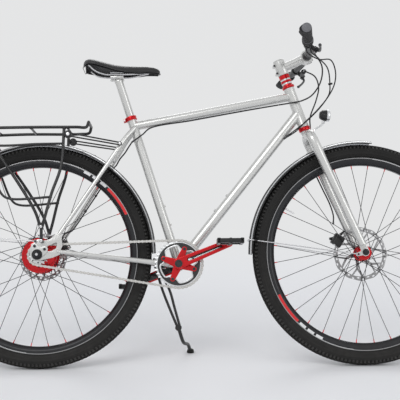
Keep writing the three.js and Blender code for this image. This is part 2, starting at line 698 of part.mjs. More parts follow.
// Seat post with its cradle, and the clamp that holds the saddle rails
const postRadius = postDiameter / 2;
const postBottom = postTop - postLength;
const cradleHalf = 22;
const cradleHeight = 10;
function seatPost() {
  const tube = rod(seat(postBottom), seat(postTop), postRadius);
  const bore = rod(seat(postBottom - gap), seat(postTop - 14), postRadius - 2);
  const head = rod(seat(postTop - 16), seat(postTop), postRadius + 1.6, postRadius - 2);
  const cradle = block(vec(railMid - cradleHalf, -railOut - 3, railHeight - cradleHeight - railRadius),
    vec(railMid + cradleHalf, railOut + 3, railHeight - railRadius - 3 * gap));
  const ears = bothSides.map((hand) => block(
    vec(railMid + hand * (cradleHalf - 4) - 5, -5, railHeight - cradleHeight - 8),
    vec(railMid + hand * (cradleHalf - 4) + 5, 5, railHeight - railRadius - gap)));
  return join(cut(join(tube, head), bore), cradle, ears);
}
const railHeight = 969;
const railMid = seat(postTop + 8).x;
const railOut = 22;
const railRadius = 3.5;
const railSides = 5;
part('seatpost', seatPost(), silverPaint);

const bridgeLift = 6;
function railClamp() {
  const top = railHeight + railRadius;
  const rest = railHeight + railRadius * Math.cos(Math.PI / railSides) + gap;
  const bar = block(vec(railMid - cradleHalf, -railOut - 3, rest),
    vec(railMid + cradleHalf, railOut + 3, top + bridgeLift));
  const bolts = bothSides.map((hand) => rod(vec(railMid + hand * (cradleHalf - 4), 0,
    railHeight - railRadius),
    vec(railMid + hand * (cradleHalf - 4), 0, top + bridgeLift + 2), 3, 3, 8));
  return join(bar, bolts);
}
part('saddle_clamp', railClamp(), polished);

function saddleRails() {
  const nose = saddleFront - 42;
  return join(bothSides.map((hand) => bent([
    vec(nose, hand * 7, railHeight + 8.6), vec(nose - 26, hand * 13, railHeight + 4.4),
      vec(railMid + 42, hand * railOut, railHeight),
    vec(railMid, hand * railOut, railHeight), vec(railMid - 36, hand * railOut, railHeight),
    vec(saddleBack + 42, hand * 34, railHeight + 9), vec(saddleBack + 20, hand * 44, railHeight + 28),
  ], railRadius, 11, railSides)),
    rod(vec(nose, -8, railHeight + 8.6), vec(nose, 8, railHeight + 8.6), railRadius, railRadius,
    railSides));
}
const saddleBack = 137;
const saddleFront = saddleBack + saddleLength;
part('saddle_rails', saddleRails(), steel);

// Saddle: a padded top lofted from the wide back to the nose, open underneath for the rails
const saddleTop = 1022;
const saddleStations = {
  placeShares: [0, 0.05, 0.14, 0.28, 0.44, 0.6, 0.76, 0.9, 0.97, 1],
  widthShares: [0.62, 0.84, 1, 0.94, 0.66, 0.42, 0.3, 0.26, 0.22, 0.12],
  dropShares: [0.05, 0.01, 0.12, 0.42, 0.66, 0.72, 0.72, 0.8, 1.05, 1.25],
};
const saddleDip = 30;
const saddleThick = 15;
const skirtDrop = 26;
function saddleForm() {
  const sections = 12;
  const corners = [];
  const faces = [];
  const stations = saddleStations.placeShares.length;
  for (let i = 0; i < stations; i++) {
    const x = saddleBack + saddleLength * saddleStations.placeShares[i];
    const half = saddleWidth / 2 * saddleStations.widthShares[i];
    const top = saddleTop - saddleDip * saddleStations.dropShares[i];
    const skirt = Math.min(skirtDrop, half * 0.9 + 3);
    for (let j = 0; j < sections; j++) {
      const share = j / (sections - 1) * 2 - 1;
      corners.push(x, half * Math.sin(share * Math.PI / 2),
        top - skirt * (1 - Math.cos(share * Math.PI / 2)));
    }
    for (let j = sections - 1; j >= 0; j--) {
      const share = j / (sections - 1) * 2 - 1;
      const lift = saddleThick * (0.35 + 0.65 * Math.cos(share * Math.PI / 2));
      corners.push(x, (half - 3) * Math.sin(share * Math.PI / 2) ,
        top - skirt * (1 - Math.cos(share * Math.PI / 2)) - lift);
    }
  }
  const loop = sections * 2;
  for (let i = 0; i + 1 < stations; i++) {
    for (let j = 0; j < loop; j++) {
      const [a, b] = [i * loop + j, i * loop + (j + 1) % loop];
      faces.push(a, b, b + loop, a, b + loop, a + loop);
    }
  }
  for (const [base, flip] of [[0, true], [(stations - 1) * loop, false]]) {
    for (let j = 0; j + 1 < sections; j++) {
      const quad = [base + j, base + j + 1, base + loop - 2 - j, base + loop - 1 - j];
      const [a, b, c, d] = flip ? quad.reverse() : quad;
      faces.push(a, b, c, a, c, d);
    }
  }
  const geometry = new THREE.BufferGeometry();
  geometry.setAttribute('position', new THREE.BufferAttribute(new Float32Array(corners), 3));
  geometry.setIndex(faces);
  return geometry;
}
part('saddle', saddleForm(), saddleLeather);

// Tyres, rims, spokes and nipples
function tyre(axle) {
  const tube = tyreWidth / 2;
  const centre = tyreRadius - tube;
  const bead = [rimEdgeRadius + gap, rimWidth / 2 - rimWall - gap];
  const outer = arc([centre, 0], tube, 132, -132, 7);
  const inner = arc([centre, 0], tube - casingThickness, -112, 112, 3);
  const beadFoot = rimEdgeRadius - beadDepth;
  const beadInside = bead[1] - casingThickness;
  const shoulder = bead[0] + casingThickness;
  return turned([
    ...outer, [bead[0], -bead[1]], [beadFoot, -bead[1]], [beadFoot, -beadInside], [shoulder, -beadInside],
    ...inner, [shoulder, beadInside], [beadFoot, beadInside], [beadFoot, bead[1]], [bead[0], bead[1]],
  ], axle, side(axle, 1), wheelSides);
}
function rim(axle) {
  const half = rimWidth / 2;
  const well = half - rimWall;
  const floor = rimEdgeRadius - rimDepth;
  return turned([
    [rimEdgeRadius, half], [rimEdgeRadius - 12, half], [floor, rimFloorWidth / 2],
      [floor, -rimFloorWidth / 2],
    [rimEdgeRadius - 12, -half], [rimEdgeRadius, -half], [rimEdgeRadius, -well], [rimEdgeRadius - 6, -well],
    [floor + 3, 0], [rimEdgeRadius - 6, well], [rimEdgeRadius, well],
  ], axle, side(axle, 1), wheelSides);
}
const nippleRoot = rimEdgeRadius - rimDepth - gap;
const bandThickness = 2.5;
const spokeLayer = 2.4;
const lacing = (axle, flangeRadius, flangeOut, cross, make) => join(spokeBand(axle),
  Array.from({ length: spokesPerWheel }, (_, i) => {
  const hand = i % 2 ? left : right;
  const forwards = Math.floor(i / 2) % 2 ? 1 : -1;
  const angle = 360 * (i + 0.5) / spokesPerWheel;
  const rootAngle = angle + forwards * cross;
  const layer = forwards * spokeLayer;
  const root = vec(axle.x + flangeRadius * cosine(rootAngle), hand * flangeOut + layer,
    axle.z + flangeRadius * sine(rootAngle));
  const reach = (nippleRoot - bandThickness / 2) * Math.cos(Math.PI / wheelSides);
  const tip = vec(axle.x + reach * cosine(angle), hand * 2 + layer * 0.5, axle.z + reach * sine(angle));
  return make(root, tip);
}));
const spokeBand = (axle) => ring(nippleRoot, nippleRoot - bandThickness, -rimFloorWidth / 2,
  rimFloorWidth / 2,
  axle, side(axle, 1), wheelSides);
const spokes = (...lay) => lacing(...lay,
  (root, tip) => rod(root, tip, spokeDiameter / 2, spokeDiameter / 2, 3));

// Front wheel
const frontFlangeRadius = 25;
const frontFlangeOut = 26;
const frontCross = 62;
const hubBore = axleDiameter / 2 + runningGap;
const flangeGap = 1.4;
const layFront = [frontAxle, frontFlangeRadius + flangeGap, frontFlangeOut, frontCross];
part('front_tyre', tyre(frontAxle), blackRubber);
part('front_rim', rim(frontAxle), blackPaint);
part('front_spokes', spokes(...layFront), steel);
const frontHubHalf = frontHubSpacing / 2 - runningGap;
part('front_hub', turned([
  [hubBore, -frontHubHalf], [10, -frontHubHalf], [12, -frontFlangeOut - 10], [15, -frontFlangeOut - 5],
  [frontFlangeRadius, -frontFlangeOut - 4], [frontFlangeRadius, -frontFlangeOut + 4],
    [17, -frontFlangeOut + 6],
  [15, 0], [17, frontFlangeOut - 6], [frontFlangeRadius, frontFlangeOut - 4],
    [frontFlangeRadius, frontFlangeOut + 4],
  [22, frontFlangeOut + 5], [22, frontFlangeOut + 7], [12, frontFlangeOut + 7.4], [10, frontHubHalf],
    [hubBore, frontHubHalf],
], frontAxle, side(frontAxle, 1)), redAnodised);
const axleRadius = axleDiameter / 2 - gap;
const frontAxleEnd = frontHubSpacing / 2 + forkEndThickness;
part('front_axle', turned([
  [0, -frontAxleEnd - 14], [7, -frontAxleEnd - 13], [10.5, -frontAxleEnd - 6], [10.5, -frontAxleEnd - gap],
  [axleRadius, -frontAxleEnd - gap], [axleRadius, frontAxleEnd + gap], [10.5, frontAxleEnd + gap],
  [10.5, frontAxleEnd + 6], [7, frontAxleEnd + 12], [0, frontAxleEnd + 13],
], frontAxle, side(frontAxle, 1)), blackPaint);

// Brake rotors: a waved ring on slanted arms
function rotor(axle, diameter, place) {
  const outer = diameter / 2;
  const band = 13;
  const waves = 12;
  const waveHeight = 1.6;
  const count = waves * 3;
  const edge = Array.from({ length: count }, (_, i) => {
    const radius = outer - waveHeight * (1 - Math.cos(full * i * waves / count)) / 2;
    return [axle.x + radius * Math.cos(full * i / count), axle.z + radius * Math.sin(full * i / count)];
  });
  const arms = 6;
  const carrier = 26;
  const windows = Array.from({ length: arms }, (_, i) => {
    const start = 360 * i / arms;
    const reach = outer - band;
    const at = (radius, angle) => [axle.x + radius * cosine(angle), axle.z + radius * sine(angle)];
    return [at(carrier, start + 30), at(reach, start - 8), at(reach, start + 10), at(reach, start + 28),
      at(reach, start + 44)];
  });
  return plate(edge, place - rotorThickness / 2, place + rotorThickness / 2,
    [...windows, circle([axle.x, axle.z], 13, 12)]);
}
const frontRotorPlace = frontHubSpacing / 2 - 15;
const rearRotorPlace = stayInnerFace - 15.5;
part('front_rotor', rotor(frontAxle, frontRotorDiameter, frontRotorPlace), steel);

// Rear wheel with its wide gear hub
const rearFlangeRadius = 57;
const rearFlangeOut = 30;
const rearShellRadius = 50;
const rearCross = 38;
const layRear = [rearAxle, rearFlangeRadius + flangeGap, rearFlangeOut, rearCross];
part('rear_tyre', tyre(rearAxle), blackRubber);
part('rear_rim', rim(rearAxle), blackPaint);
part('rear_spokes', spokes(...layRear), steel);
const shellLeft = rearRotorPlace - rotorThickness / 2 - gap;
const shellRight = 44;
part('rear_hub', turned([
  [hubBore, -shellRight], [27, -shellRight], [29, -shellRight + 3], [46, -rearFlangeOut - 6],
  [rearFlangeRadius, -rearFlangeOut - 4], [rearFlangeRadius, -rearFlangeOut + 4],
    [rearShellRadius, -rearFlangeOut + 5],
  [rearShellRadius, rearFlangeOut - 5], [rearFlangeRadius, rearFlangeOut - 4],
    [rearFlangeRadius, rearFlangeOut + 4],
  [46, rearFlangeOut + 6], [25, rearFlangeOut + 12], [22, shellLeft], [hubBore, shellLeft],
], rearAxle, side(rearAxle, 1), 18), redAnodised);
part('rear_rotor', rotor(rearAxle, rearRotorDiameter, rearRotorPlace), steel);
const rearAxleEnd = slideFace + slideThickness;
part('rear_axle', join(bothSides.map(dropoutSlide), turned([
  [0, -rearAxleEnd - 12], [6, -rearAxleEnd - 12], [11, -rearAxleEnd - 7], [11, -rearAxleEnd + gap],
  [axleRadius, -rearAxleEnd + gap], [axleRadius, rearAxleEnd - gap], [11, rearAxleEnd - gap],
  [11, rearAxleEnd + 7], [6, rearAxleEnd + 12], [0, rearAxleEnd + 12],
], rearAxle, side(rearAxle, 1))), steel);

// Gear box on the left end of the rear hub, where the shift cables arrive
const shiftBoxIn = rearRotorPlace + rotorThickness / 2 + runningGap;
const shiftBoxOut = stayInnerFace - gap;
part('shift_box', cut(join(
  rod(side(rearAxle, shiftBoxIn), side(rearAxle, shiftBoxOut), 19),
  block(vec(-14, shiftBoxIn, tyreRadius - 44), vec(14, shiftBoxOut, tyreRadius - 8)),
), rod(side(rearAxle, 0), side(rearAxle, rearHubSpacing), hubBore)), blackPlastic);

// Toothed discs, worked out from the chain pitch
const pitchRadius = (teeth) => pitch / 2 / Math.sin(Math.PI / teeth);
const toothTip = 2.9;
const toothRoot = 3.9;
function toothOutline(centre, teeth, phase) {
  return Array.from({ length: teeth * 2 }, (_, i) => {
    const radius = pitchRadius(teeth) + (i % 2 ? toothTip : -toothRoot);
    const angle = 360 * i / 2 / teeth + phase;
    return [centre.x + radius * cosine(angle), centre.z + radius * sine(angle)];
  });
}
const toothThickness = 2;
const ringInner = 46;
const boltCircle = 52;
const spiderAngles = [69, 160, 247.5, 341.6];
function chainring() {
  const windows = spiderAngles.map((angle, i) => {
    const next = i + 1 < spiderAngles.length ? spiderAngles[i + 1] : spiderAngles[0] + 360;
    const inner = arc([bracket.x, bracket.z], boltCircle + 3, angle + 22, next - 22, 4);
    const outer = arc([bracket.x, bracket.z], boltCircle + 14, next - 22, angle + 22, 4);
    return [...inner, ...outer];
  });
  const bolts = spiderAngles.map((angle) => circle(
    [bracket.x + boltCircle * cosine(angle), bracket.z + boltCircle * sine(angle)],
      (ringBoltRadius + gap) / Math.cos(Math.PI / 6), 6));
  return plate(toothOutline(bracket, ringTeeth, 0), -chainline - toothThickness / 2,
    -chainline + toothThickness / 2,
    [circle([bracket.x, bracket.z], ringInner, 20), ...windows, ...bolts]);
}
const ringBoltRadius = 4.5;
part('chainring', chainring(), steel);
function sprocket() {
  const disc = plate(toothOutline(rearAxle, sprocketTeeth, 0), -chainline - toothThickness / 2,
    -chainline + toothThickness / 2,
    [circle([rearAxle.x, rearAxle.z], 15, 12)]);
  const lock = ring(18.5, 12, -chainline - 5, -shellRight - gap, rearAxle, side(rearAxle, 1), 12);
  return join(disc, lock);
}
part('sprocket', sprocket(), steel);

// Chain: a channel bent around both toothed discs, open towards the teeth
const chainHalfHeight = 5.4;
const chainWidth = 8;
const chainChannel = 4.6;
const channelDepth = 4.3;
function belt(offset) {
  const big = pitchRadius(ringTeeth) + offset;
  const small = pitchRadius(sprocketTeeth) + offset;
  const [dx, dz] = [rearAxle.x - bracket.x, rearAxle.z - bracket.z];
  const heading = THREE.MathUtils.radToDeg(Math.atan2(dz, dx));
  const lift = THREE.MathUtils.radToDeg(Math.acos((big - small) / Math.hypot(dx, dz)));
  return [
    ...arc([bracket.x, bracket.z], big, heading + lift, heading + 360 - lift, 16),
    ...arc([rearAxle.x, rearAxle.z], small, heading - lift, heading + lift, 10),
  ];
}
const beltPlate = (offset, half) => plate(belt(offset), -chainline - half, -chainline + half);
part('chain', cut(beltPlate(chainHalfHeight, chainWidth / 2), beltPlate(-chainHalfHeight, chainWidth),
  beltPlate(channelDepth, chainChannel / 2)), steel);

// Cranks: the right one carries the spider, the left one the spindle
const armIn = 68;
const armThickness = 14;
const armRoot = 17;
const armTip = 13;
const pedalAxleRadius = 7;
const crankEnd = (hand) => [bracket.x - hand * crankLength * cosine(crankAngle),
  bracket.z - hand * crankLength * sine(crankAngle)];
function crankArm(hand) {
  const end = crankEnd(hand);
  const faces = [armIn, armIn + armThickness].map((face) => hand * face).sort((a, b) => a - b);
  const outline = slot([bracket.x, bracket.z], armRoot, end, armTip);
  const lerp = (share) => [bracket.x + (end[0] - bracket.x) * share,
    bracket.z + (end[1] - bracket.z) * share];
  const groove = slot(lerp(0.22), 5, lerp(0.8), 4, 5);
  const grooveFaces = [armIn + armThickness - 3,
    armIn + armThickness * 2].map((face) => hand * face).sort((a, b) => a - b);
  const arm = cut(plate(outline, faces[0], faces[1]), plate(groove, grooveFaces[0], grooveFaces[1]));
  const axle = rod(vec(end[0], hand * (armIn + armThickness / 2), end[1]),
    vec(end[0], hand * pedalIn, end[1]), pedalAxleRadius);
  const stub = rod(vec(end[0], hand * pedalIn, end[1]), vec(end[0], hand * pedalAxleEnd, end[1]),
    pedalSpindle);
  return join(arm, axle, stub);
}
const pedalIn = armIn + armThickness + 6;
const pedalSpindle = 4.5;
const pedalAxleEnd = pedalIn + pedalWidth - 6;
const spiderIn = chainline + toothThickness / 2 + gap;
const spiderThickness = 5;
function rightCrank() {
  const discFaces = [-spiderIn - spiderThickness, -spiderIn];
  const arms = spiderAngles.map((angle) => {
    const tip = [bracket.x + boltCircle * cosine(angle), bracket.z + boltCircle * sine(angle)];
    return plate(slot([bracket.x, bracket.z], 15, tip, 8, 5), ...discFaces);
  });
  const bolts = spiderAngles.map((angle) => {
    const [x, z] = [bracket.x + boltCircle * cosine(angle), bracket.z + boltCircle * sine(angle)];
    return rod(vec(x, -chainline + toothThickness, z), vec(x, -spiderIn - spiderThickness - 1.5, z),
      ringBoltRadius,
      ringBoltRadius, 6);
  });
  const core = rod(side(bracket, -chainline + 8), side(bracket, -armIn - armThickness - 2), armRoot - 1);
  const spindleHole = rod(side(bracket, -bracketShellWidth / 2), side(bracket, -armIn - armThickness),
    spindleDiameter / 2 + gap);
  return cut(join(crankArm(right), arms, bolts, core), spindleHole);
}
part('right_crank', rightCrank(), redAnodised);
part('left_crank', join(crankArm(left),
  rod(side(bracket, -armIn - armThickness + gap), side(bracket, armIn + armThickness + 2),
  spindleDiameter / 2), rod(side(bracket, bracketShellWidth / 2 + unitLip + gap),
    side(bracket, armIn + armThickness), armRoot - 4)), redAnodised);

// Pedals: an open platform around a sleeve on the spindle
function pedal(hand) {
  const [x, z] = crankEnd(hand);
  const near = pedalIn + gap;
  const far = pedalIn + pedalWidth;
  const faces = (a, b) => [hand * a, hand * b].sort((p, q) => p - q);
  const box = (x0, x1, y0, y1, half) => {
    const [low, high] = faces(y0, y1);
    return block(vec(x + x0, low, z - half), vec(x + x1, high, z + half));
  };
  const halfLong = pedalLength / 2;
  const halfThick = pedalThickness / 2;
  const rail = 12;
  const sleeve = rod(vec(x, hand * near, z), vec(x, hand * far, z), 11);
  const body = join(
    box(-halfLong, -halfLong + rail, near + 6, far, halfThick),
      box(halfLong - rail, halfLong, near + 6, far, halfThick),
    box(-halfLong, halfLong, near + 6, near + 6 + rail, halfThick * 0.8),
      box(-halfLong, halfLong, far - rail, far, halfThick * 0.8),
    sleeve,
  );
  return cut(body, rod(vec(x, hand * (near - rail), z), vec(x, hand * (pedalAxleEnd + 2), z),
    pedalSpindle + gap));
}
part('right_pedal', pedal(right), blackPlastic);
part('left_pedal', pedal(left), blackPlastic);

// Brake calipers, each gripping its rotor from a slot
function caliper(axle, rotorDiameter, place, angle, inner, outer) {
  const reach = rotorDiameter / 2;
  const body = block(vec(reach - 22, place - inner, -19), vec(reach + 16, place + outer, 19));
  const slit = block(vec(0, place - rotorThickness / 2 - runningGap, -reach),
    vec(reach + 4, place + rotorThickness / 2 + runningGap, reach));
  return cut(body, slit).rotateY(-radians(angle)).translate(axle.x, 0, axle.z);
}
const frontCaliperAngle = 148;
const rearCaliperAngle = 29;
part('front_caliper', join(caliper(frontAxle, frontRotorDiameter, frontRotorPlace, frontCaliperAngle, 7.4,
  15),
  bent([steer(82, -48, 46), steer(80, -20, 46), steer(88.7, 13.7, 48)], 5, 4, 8)), blackPlastic);
part('rear_caliper', join(caliper(rearAxle, rearRotorDiameter, rearRotorPlace, rearCaliperAngle, 15, 6.2),
  rod(vec(62, 56, 378), vec(62, 63.8, 378), 4.5, 4.5, 8)), blackPlastic);

// Mudguards: curved channels over the tyres
function mudguard(axle, start, end, steps) {
  const section = [];
  const half = guardWidth / 2;
  const points = 4;
  for (let i = 0; i <= points; i++) {
    const share = i / points * 2 - 1;
    section.push([guardCrownRadius - guardSkirt * share * share, half * share]);
  }
  for (let i = points; i >= 0; i--) {
    const share = i / points * 2 - 1;
    section.push([guardCrownRadius - guardThickness - guardSkirt * share * share,
      (half - guardThickness / 2) * share]);
  }
  const loop = section.length;
  const corners = [];
  const faces = [];
  for (let i = 0; i <= steps; i++) {
    const angle = start + (end - start) * i / steps;
    section.forEach(([radius, out]) => corners.push(axle.x + radius * cosine(angle), out,
      axle.z + radius * sine(angle)));
  }
  for (let i = 0; i < steps; i++) {
    for (let j = 0; j < loop; j++) {
      const [a, b] = [i * loop + j, i * loop + (j + 1) % loop];
      faces.push(a, b, b + loop, a, b + loop, a + loop);
    }
  }
  for (const [base, flip] of [[0, true], [steps * loop, false]]) {
    for (let j = 0; j < points; j++) {
      const quad = [base + j, base + j + 1, base + loop - 2 - j, base + loop - 1 - j];
      const [a, b, c, d] = flip ? quad.reverse() : quad;
      faces.push(a, b, c, a, c, d);
    }
  }
  const geometry = new THREE.BufferGeometry();
  geometry.setAttribute('position', new THREE.BufferAttribute(new Float32Array(corners), 3));
  geometry.setIndex(faces);
  return geometry;
}
part('front_mudguard', mudguard(frontAxle, ...frontGuardEnds, frontGuardSteps), blackPlastic);
part('rear_mudguard', mudguard(rearAxle, ...rearGuardEnds, rearGuardSteps), blackPlastic);

// Mudguard stays: wires from the frame ends to the guards' edges
const wireRadius = 2;
const around = (axle, radius, angle, out) => vec(axle.x + radius * cosine(angle), out,
  axle.z + radius * sine(angle));
const guardEdge = guardCrownRadius - guardSkirt;
const stayOut = guardWidth / 2 + wireRadius + gap;
const stayFoot = 3;
const stayBend = [2, 1];
const stayOver = 3.4;
const overShare = 0.7;
function guardStays(axle, angle, rootOut, rootAngle, rootRadius) {
  const wires = bothSides.map((hand) => rod(
    around(axle, rootRadius, rootAngle, hand * rootOut),
    around(axle, guardEdge - stayFoot, angle, hand * stayOut),
    wireRadius, wireRadius, 5));
  const half = (hand) => [
    around(axle, guardEdge - stayFoot, angle, hand * stayOut),
    around(axle, guardCrownRadius - stayBend[0], angle, hand * (stayOut - stayBend[1])),
    around(axle, guardCrownRadius + stayOver, angle, hand * stayOut * overShare),
  ];
  return join(wires, bent([...half(right), ...half(left).reverse()], wireRadius, 11, 5));
}
const forkStayOut = frontAxleEnd + wireRadius + 3 * gap;
const eyeRadius = forkEye.distanceTo(frontAxle);
const eyeAngle = THREE.MathUtils.radToDeg(Math.atan2(forkEye.z - frontAxle.z, forkEye.x - frontAxle.x));
part('front_mudguard_stays', guardStays(frontAxle, 173, forkStayOut, eyeAngle, eyeRadius), polished);
part('rear_mudguard_stays', guardStays(rearAxle, 168, dropoutOuterFace + wireRadius + 2 * gap, 98, 43.5),
  polished);

// Headlight on a bent bracket in front of the crown
const lampBehindAxle = 113;
const lampHeight = 829;
const lampCentre = vec(frontAxle.x - lampBehindAxle, 0, lampHeight);
const lampRadius = 20;
const lampDepth = 34;
const lampRun = vec(cosine(-4), 0, sine(-4));
const lampAt = (run, up = 0) => lampCentre.clone().addScaledVector(lampRun, run).add(vec(0, 0, up));
part('headlight', turned([
  [0, -lampDepth / 2], [10, -lampDepth / 2], [17, -lampDepth / 4], [lampRadius, lampDepth / 4],
    [lampRadius, lampDepth / 2],
  [lampRadius - 2, lampDepth / 2], [lampRadius - 2, lampDepth / 2 - 4], [0, lampDepth / 2 - 4],
], lampCentre, lampAt(1), 16), blackPlastic);
part('headlight_lens', turned([
  [0, lampDepth / 2 - 3.6], [lampRadius - 2.4, lampDepth / 2 - 3.6], [lampRadius - 2.4, lampDepth / 2],
    [lampRadius / 2, lampDepth / 2 + 3],
  [0, lampDepth / 2 + 4],
], lampCentre, lampAt(1), 16), clearLens);
const lampStem = steer(crownHeight - bladeDiameter / 2, bladeDiameter / 2 + 3);
const lampClamp = { back: 4, lower: 8, radius: 6 };
const lampWire = { radius: 3, start: 2, bendBack: 6, bendDown: 10, ahead: 9, up: 14, sink: 5 };
const lampBoss = { long: 8, radius: 5.5 };
part('headlight_bracket', join(
  bent([
    lampAt(-lampClamp.back, -lampRadius - lampWire.start),
    lampAt(-lampWire.bendBack, -lampRadius - lampWire.bendDown),
    lampStem.clone().add(vec(lampWire.ahead, 0, lampWire.up)),
    lampStem.clone().addScaledVector(steerForward, lampWire.sink),
  ], lampWire.radius, 7, 6),
  rod(
    lampStem.clone().addScaledVector(steerForward, gap),
    lampStem.clone().addScaledVector(steerForward, lampBoss.long), lampBoss.radius, lampBoss.radius, 6),
  rod(
    lampAt(-lampClamp.back, -lampRadius + gap),
    lampAt(-lampClamp.back, -lampRadius - lampClamp.lower), lampClamp.radius, lampClamp.radius, 6),
), polished);

// Rack: black tubes, a platform above the wheel and a frame each side for the bags
const rackTube = 5;
const rackWire = 4;
const deckHeight = 782;
const deckOut = 58;
const deckFront = 150;
const deckBack = -246;
const rackFoot = vec(14, 86, 442);
const rackDepths = [deckFront - 60, -30, -150];
const deckHook = { lead: 8, bend: 1, run: 30, inset: 16, bendInset: 10, rise: 20, bendRise: 2 };
const deckTail = { run: 30, inset: 20, drop: 6, bendDrop: 4 };
const legOut = [10, 20];
const frontLeg = { x: [80, 72, 44, 24], drop: [132, 222, 302] };
const backLeg = { x: [-190, -140, -60, -6], drop: [76, 192, 282], footBack: 2, footUp: 6 };
const lowRail = { x: [46, -86, -112, -150, -186], out: [22, 28, 26, 18, 8], drop: [233, 239, 226, 142, 46] };
const bagRail = { x: [74, 0, -150, -196, -212], out: [6, 13, 12, 4], drop: [56, 58, 60, 38] };
const tubeBend = [8, 5, 7, 6];
function rackSide(hand) {
  const at = (x, out, z) => vec(x, hand * out, z);
  const wide = (more) => deckOut + more;
  const deck = [
    at(deckFront + deckHook.lead, wide(-deckHook.inset), deckHeight + deckHook.rise),
    at(deckFront + deckHook.bend, wide(-deckHook.bendInset), deckHeight + deckHook.bendRise),
    at(deckFront - deckHook.run, deckOut, deckHeight),
    at(-60, deckOut, deckHeight),
    at(deckBack + deckTail.run, deckOut, deckHeight - deckTail.bendDrop),
    at(deckBack, wide(-deckTail.inset), deckHeight - deckTail.drop),
  ];
  const front = [
    at(frontLeg.x[0], deckOut, deckHeight),
    at(frontLeg.x[1], wide(legOut[0]), deckHeight - frontLeg.drop[0]),
    at(frontLeg.x[2], wide(legOut[1]), deckHeight - frontLeg.drop[1]),
    at(frontLeg.x[3], rackFoot.y, deckHeight - frontLeg.drop[2]),
    at(rackFoot.x, rackFoot.y, rackFoot.z),
  ];
  const back = [
    at(backLeg.x[0], deckOut, deckHeight),
    at(backLeg.x[1], wide(legOut[0]), deckHeight - backLeg.drop[0]),
    at(backLeg.x[2], wide(legOut[1]), deckHeight - backLeg.drop[1]),
    at(backLeg.x[3], rackFoot.y, deckHeight - backLeg.drop[2]),
    at(rackFoot.x - backLeg.footBack, rackFoot.y, rackFoot.z + backLeg.footUp),
  ];
  const low = lowRail.x.map((x, i) => at(x, wide(lowRail.out[i]), deckHeight - lowRail.drop[i]));
  const high = bagRail.drop.map((drop, i) => at(bagRail.x[i], wide(bagRail.out[i]), deckHeight - drop));
  high.push(at(bagRail.x[bagRail.drop.length], deckOut, deckHeight));
  return [
    bent(deck, rackTube, tubeBend[0], 6),
    bent(front, rackTube, tubeBend[1], 6),
    bent(back, rackTube, tubeBend[1], 6),
    bent(low, rackWire, tubeBend[2], 5),
    bent(high, rackWire, tubeBend[3], 5),
  ];
}
const footTop = 4;
const rackBoltRise = 43;
function rack() {
  const bars = rackDepths.map((x) => rod(vec(x, -deckOut, deckHeight), vec(x, deckOut, deckHeight),
    rackWire, rackWire, 5));
  const hookEnd = vec(deckFront + deckHook.lead, deckOut - deckHook.inset, deckHeight + deckHook.rise);
  const tailEnd = vec(deckBack, deckOut - deckTail.inset, deckHeight - deckTail.drop);
  const ends = [hookEnd, tailEnd].map((end) => {
    const other = vec(end.x, -end.y, end.z);
    return rod(other, end, rackTube, rackTube, 6);
  });
  const boltHeight = tyreRadius + rackBoltRise;
  const feet = bothSides.map((hand) => {
    const top = vec(rackFoot.x, hand * rackFoot.y, rackFoot.z + footTop);
    const bottom = vec(rackFoot.x, hand * (rackFoot.y - footTop), boltHeight);
    return rod(top, bottom, rackTube, rackTube, 6);
  });
  const bolts = bothSides.map((hand) => {
    const inner = vec(rackFoot.x, hand * (dropoutOuterFace + gap), boltHeight);
    const outer = vec(rackFoot.x, hand * (rackFoot.y + footTop / 2), boltHeight);
    return rod(inner, outer, rackTube + 1, rackTube + 1, 6);
  });
  return join(rackSide(right), rackSide(left), bars, ends, feet, bolts, rackStays());
}

// Stays that hold the rack to the seat stays, with a round clamp on the rack's side tube
const clampDisc = { x: 94, drop: 26, thick: 10, radius: 13 };
const clampEar = { back: 16, inner: 1, outer: 4, radius: 4 };
const stayWire = { ahead: 2, out: 5, rise: 5, radius: 2.6 };
const stayTie = { out: 3, rise: 4, wide: 7, radius: 7 };
function rackStays() {
  const clampHeight = deckHeight - clampDisc.drop;
  const clampOut = deckOut + rackTube - 1;
  return bothSides.flatMap((hand) => {
    const at = (x, out, z) => vec(x, hand * out, z);
    const tie = rackTabOut[1] + gap + stayTie.out;
    const wires = bothSides.map((way) => rod(
      at(clampDisc.x + stayWire.ahead, clampOut + stayWire.out, clampHeight - way * stayWire.rise),
      at(rackTab.x, tie, rackTab.z - way * stayTie.rise),
      stayWire.radius, stayWire.radius, 5));
    return [
      rod(at(clampDisc.x, clampOut, clampHeight), at(clampDisc.x, clampOut + clampDisc.thick, clampHeight),
        clampDisc.radius, clampDisc.radius, 8),
      rod(at(clampDisc.x - clampEar.back, clampOut + clampEar.inner, clampHeight),
        at(clampDisc.x, clampOut + clampEar.outer, clampHeight), clampEar.radius, clampEar.radius, 5),
      ...wires,
      rod(at(rackTab.x, rackTabOut[1] + gap, rackTab.z),
        at(rackTab.x, rackTabOut[1] + stayTie.wide, rackTab.z),
        stayTie.radius, stayTie.radius, 6),
    ];
  });
}
part('rack', rack(), blackPaint);

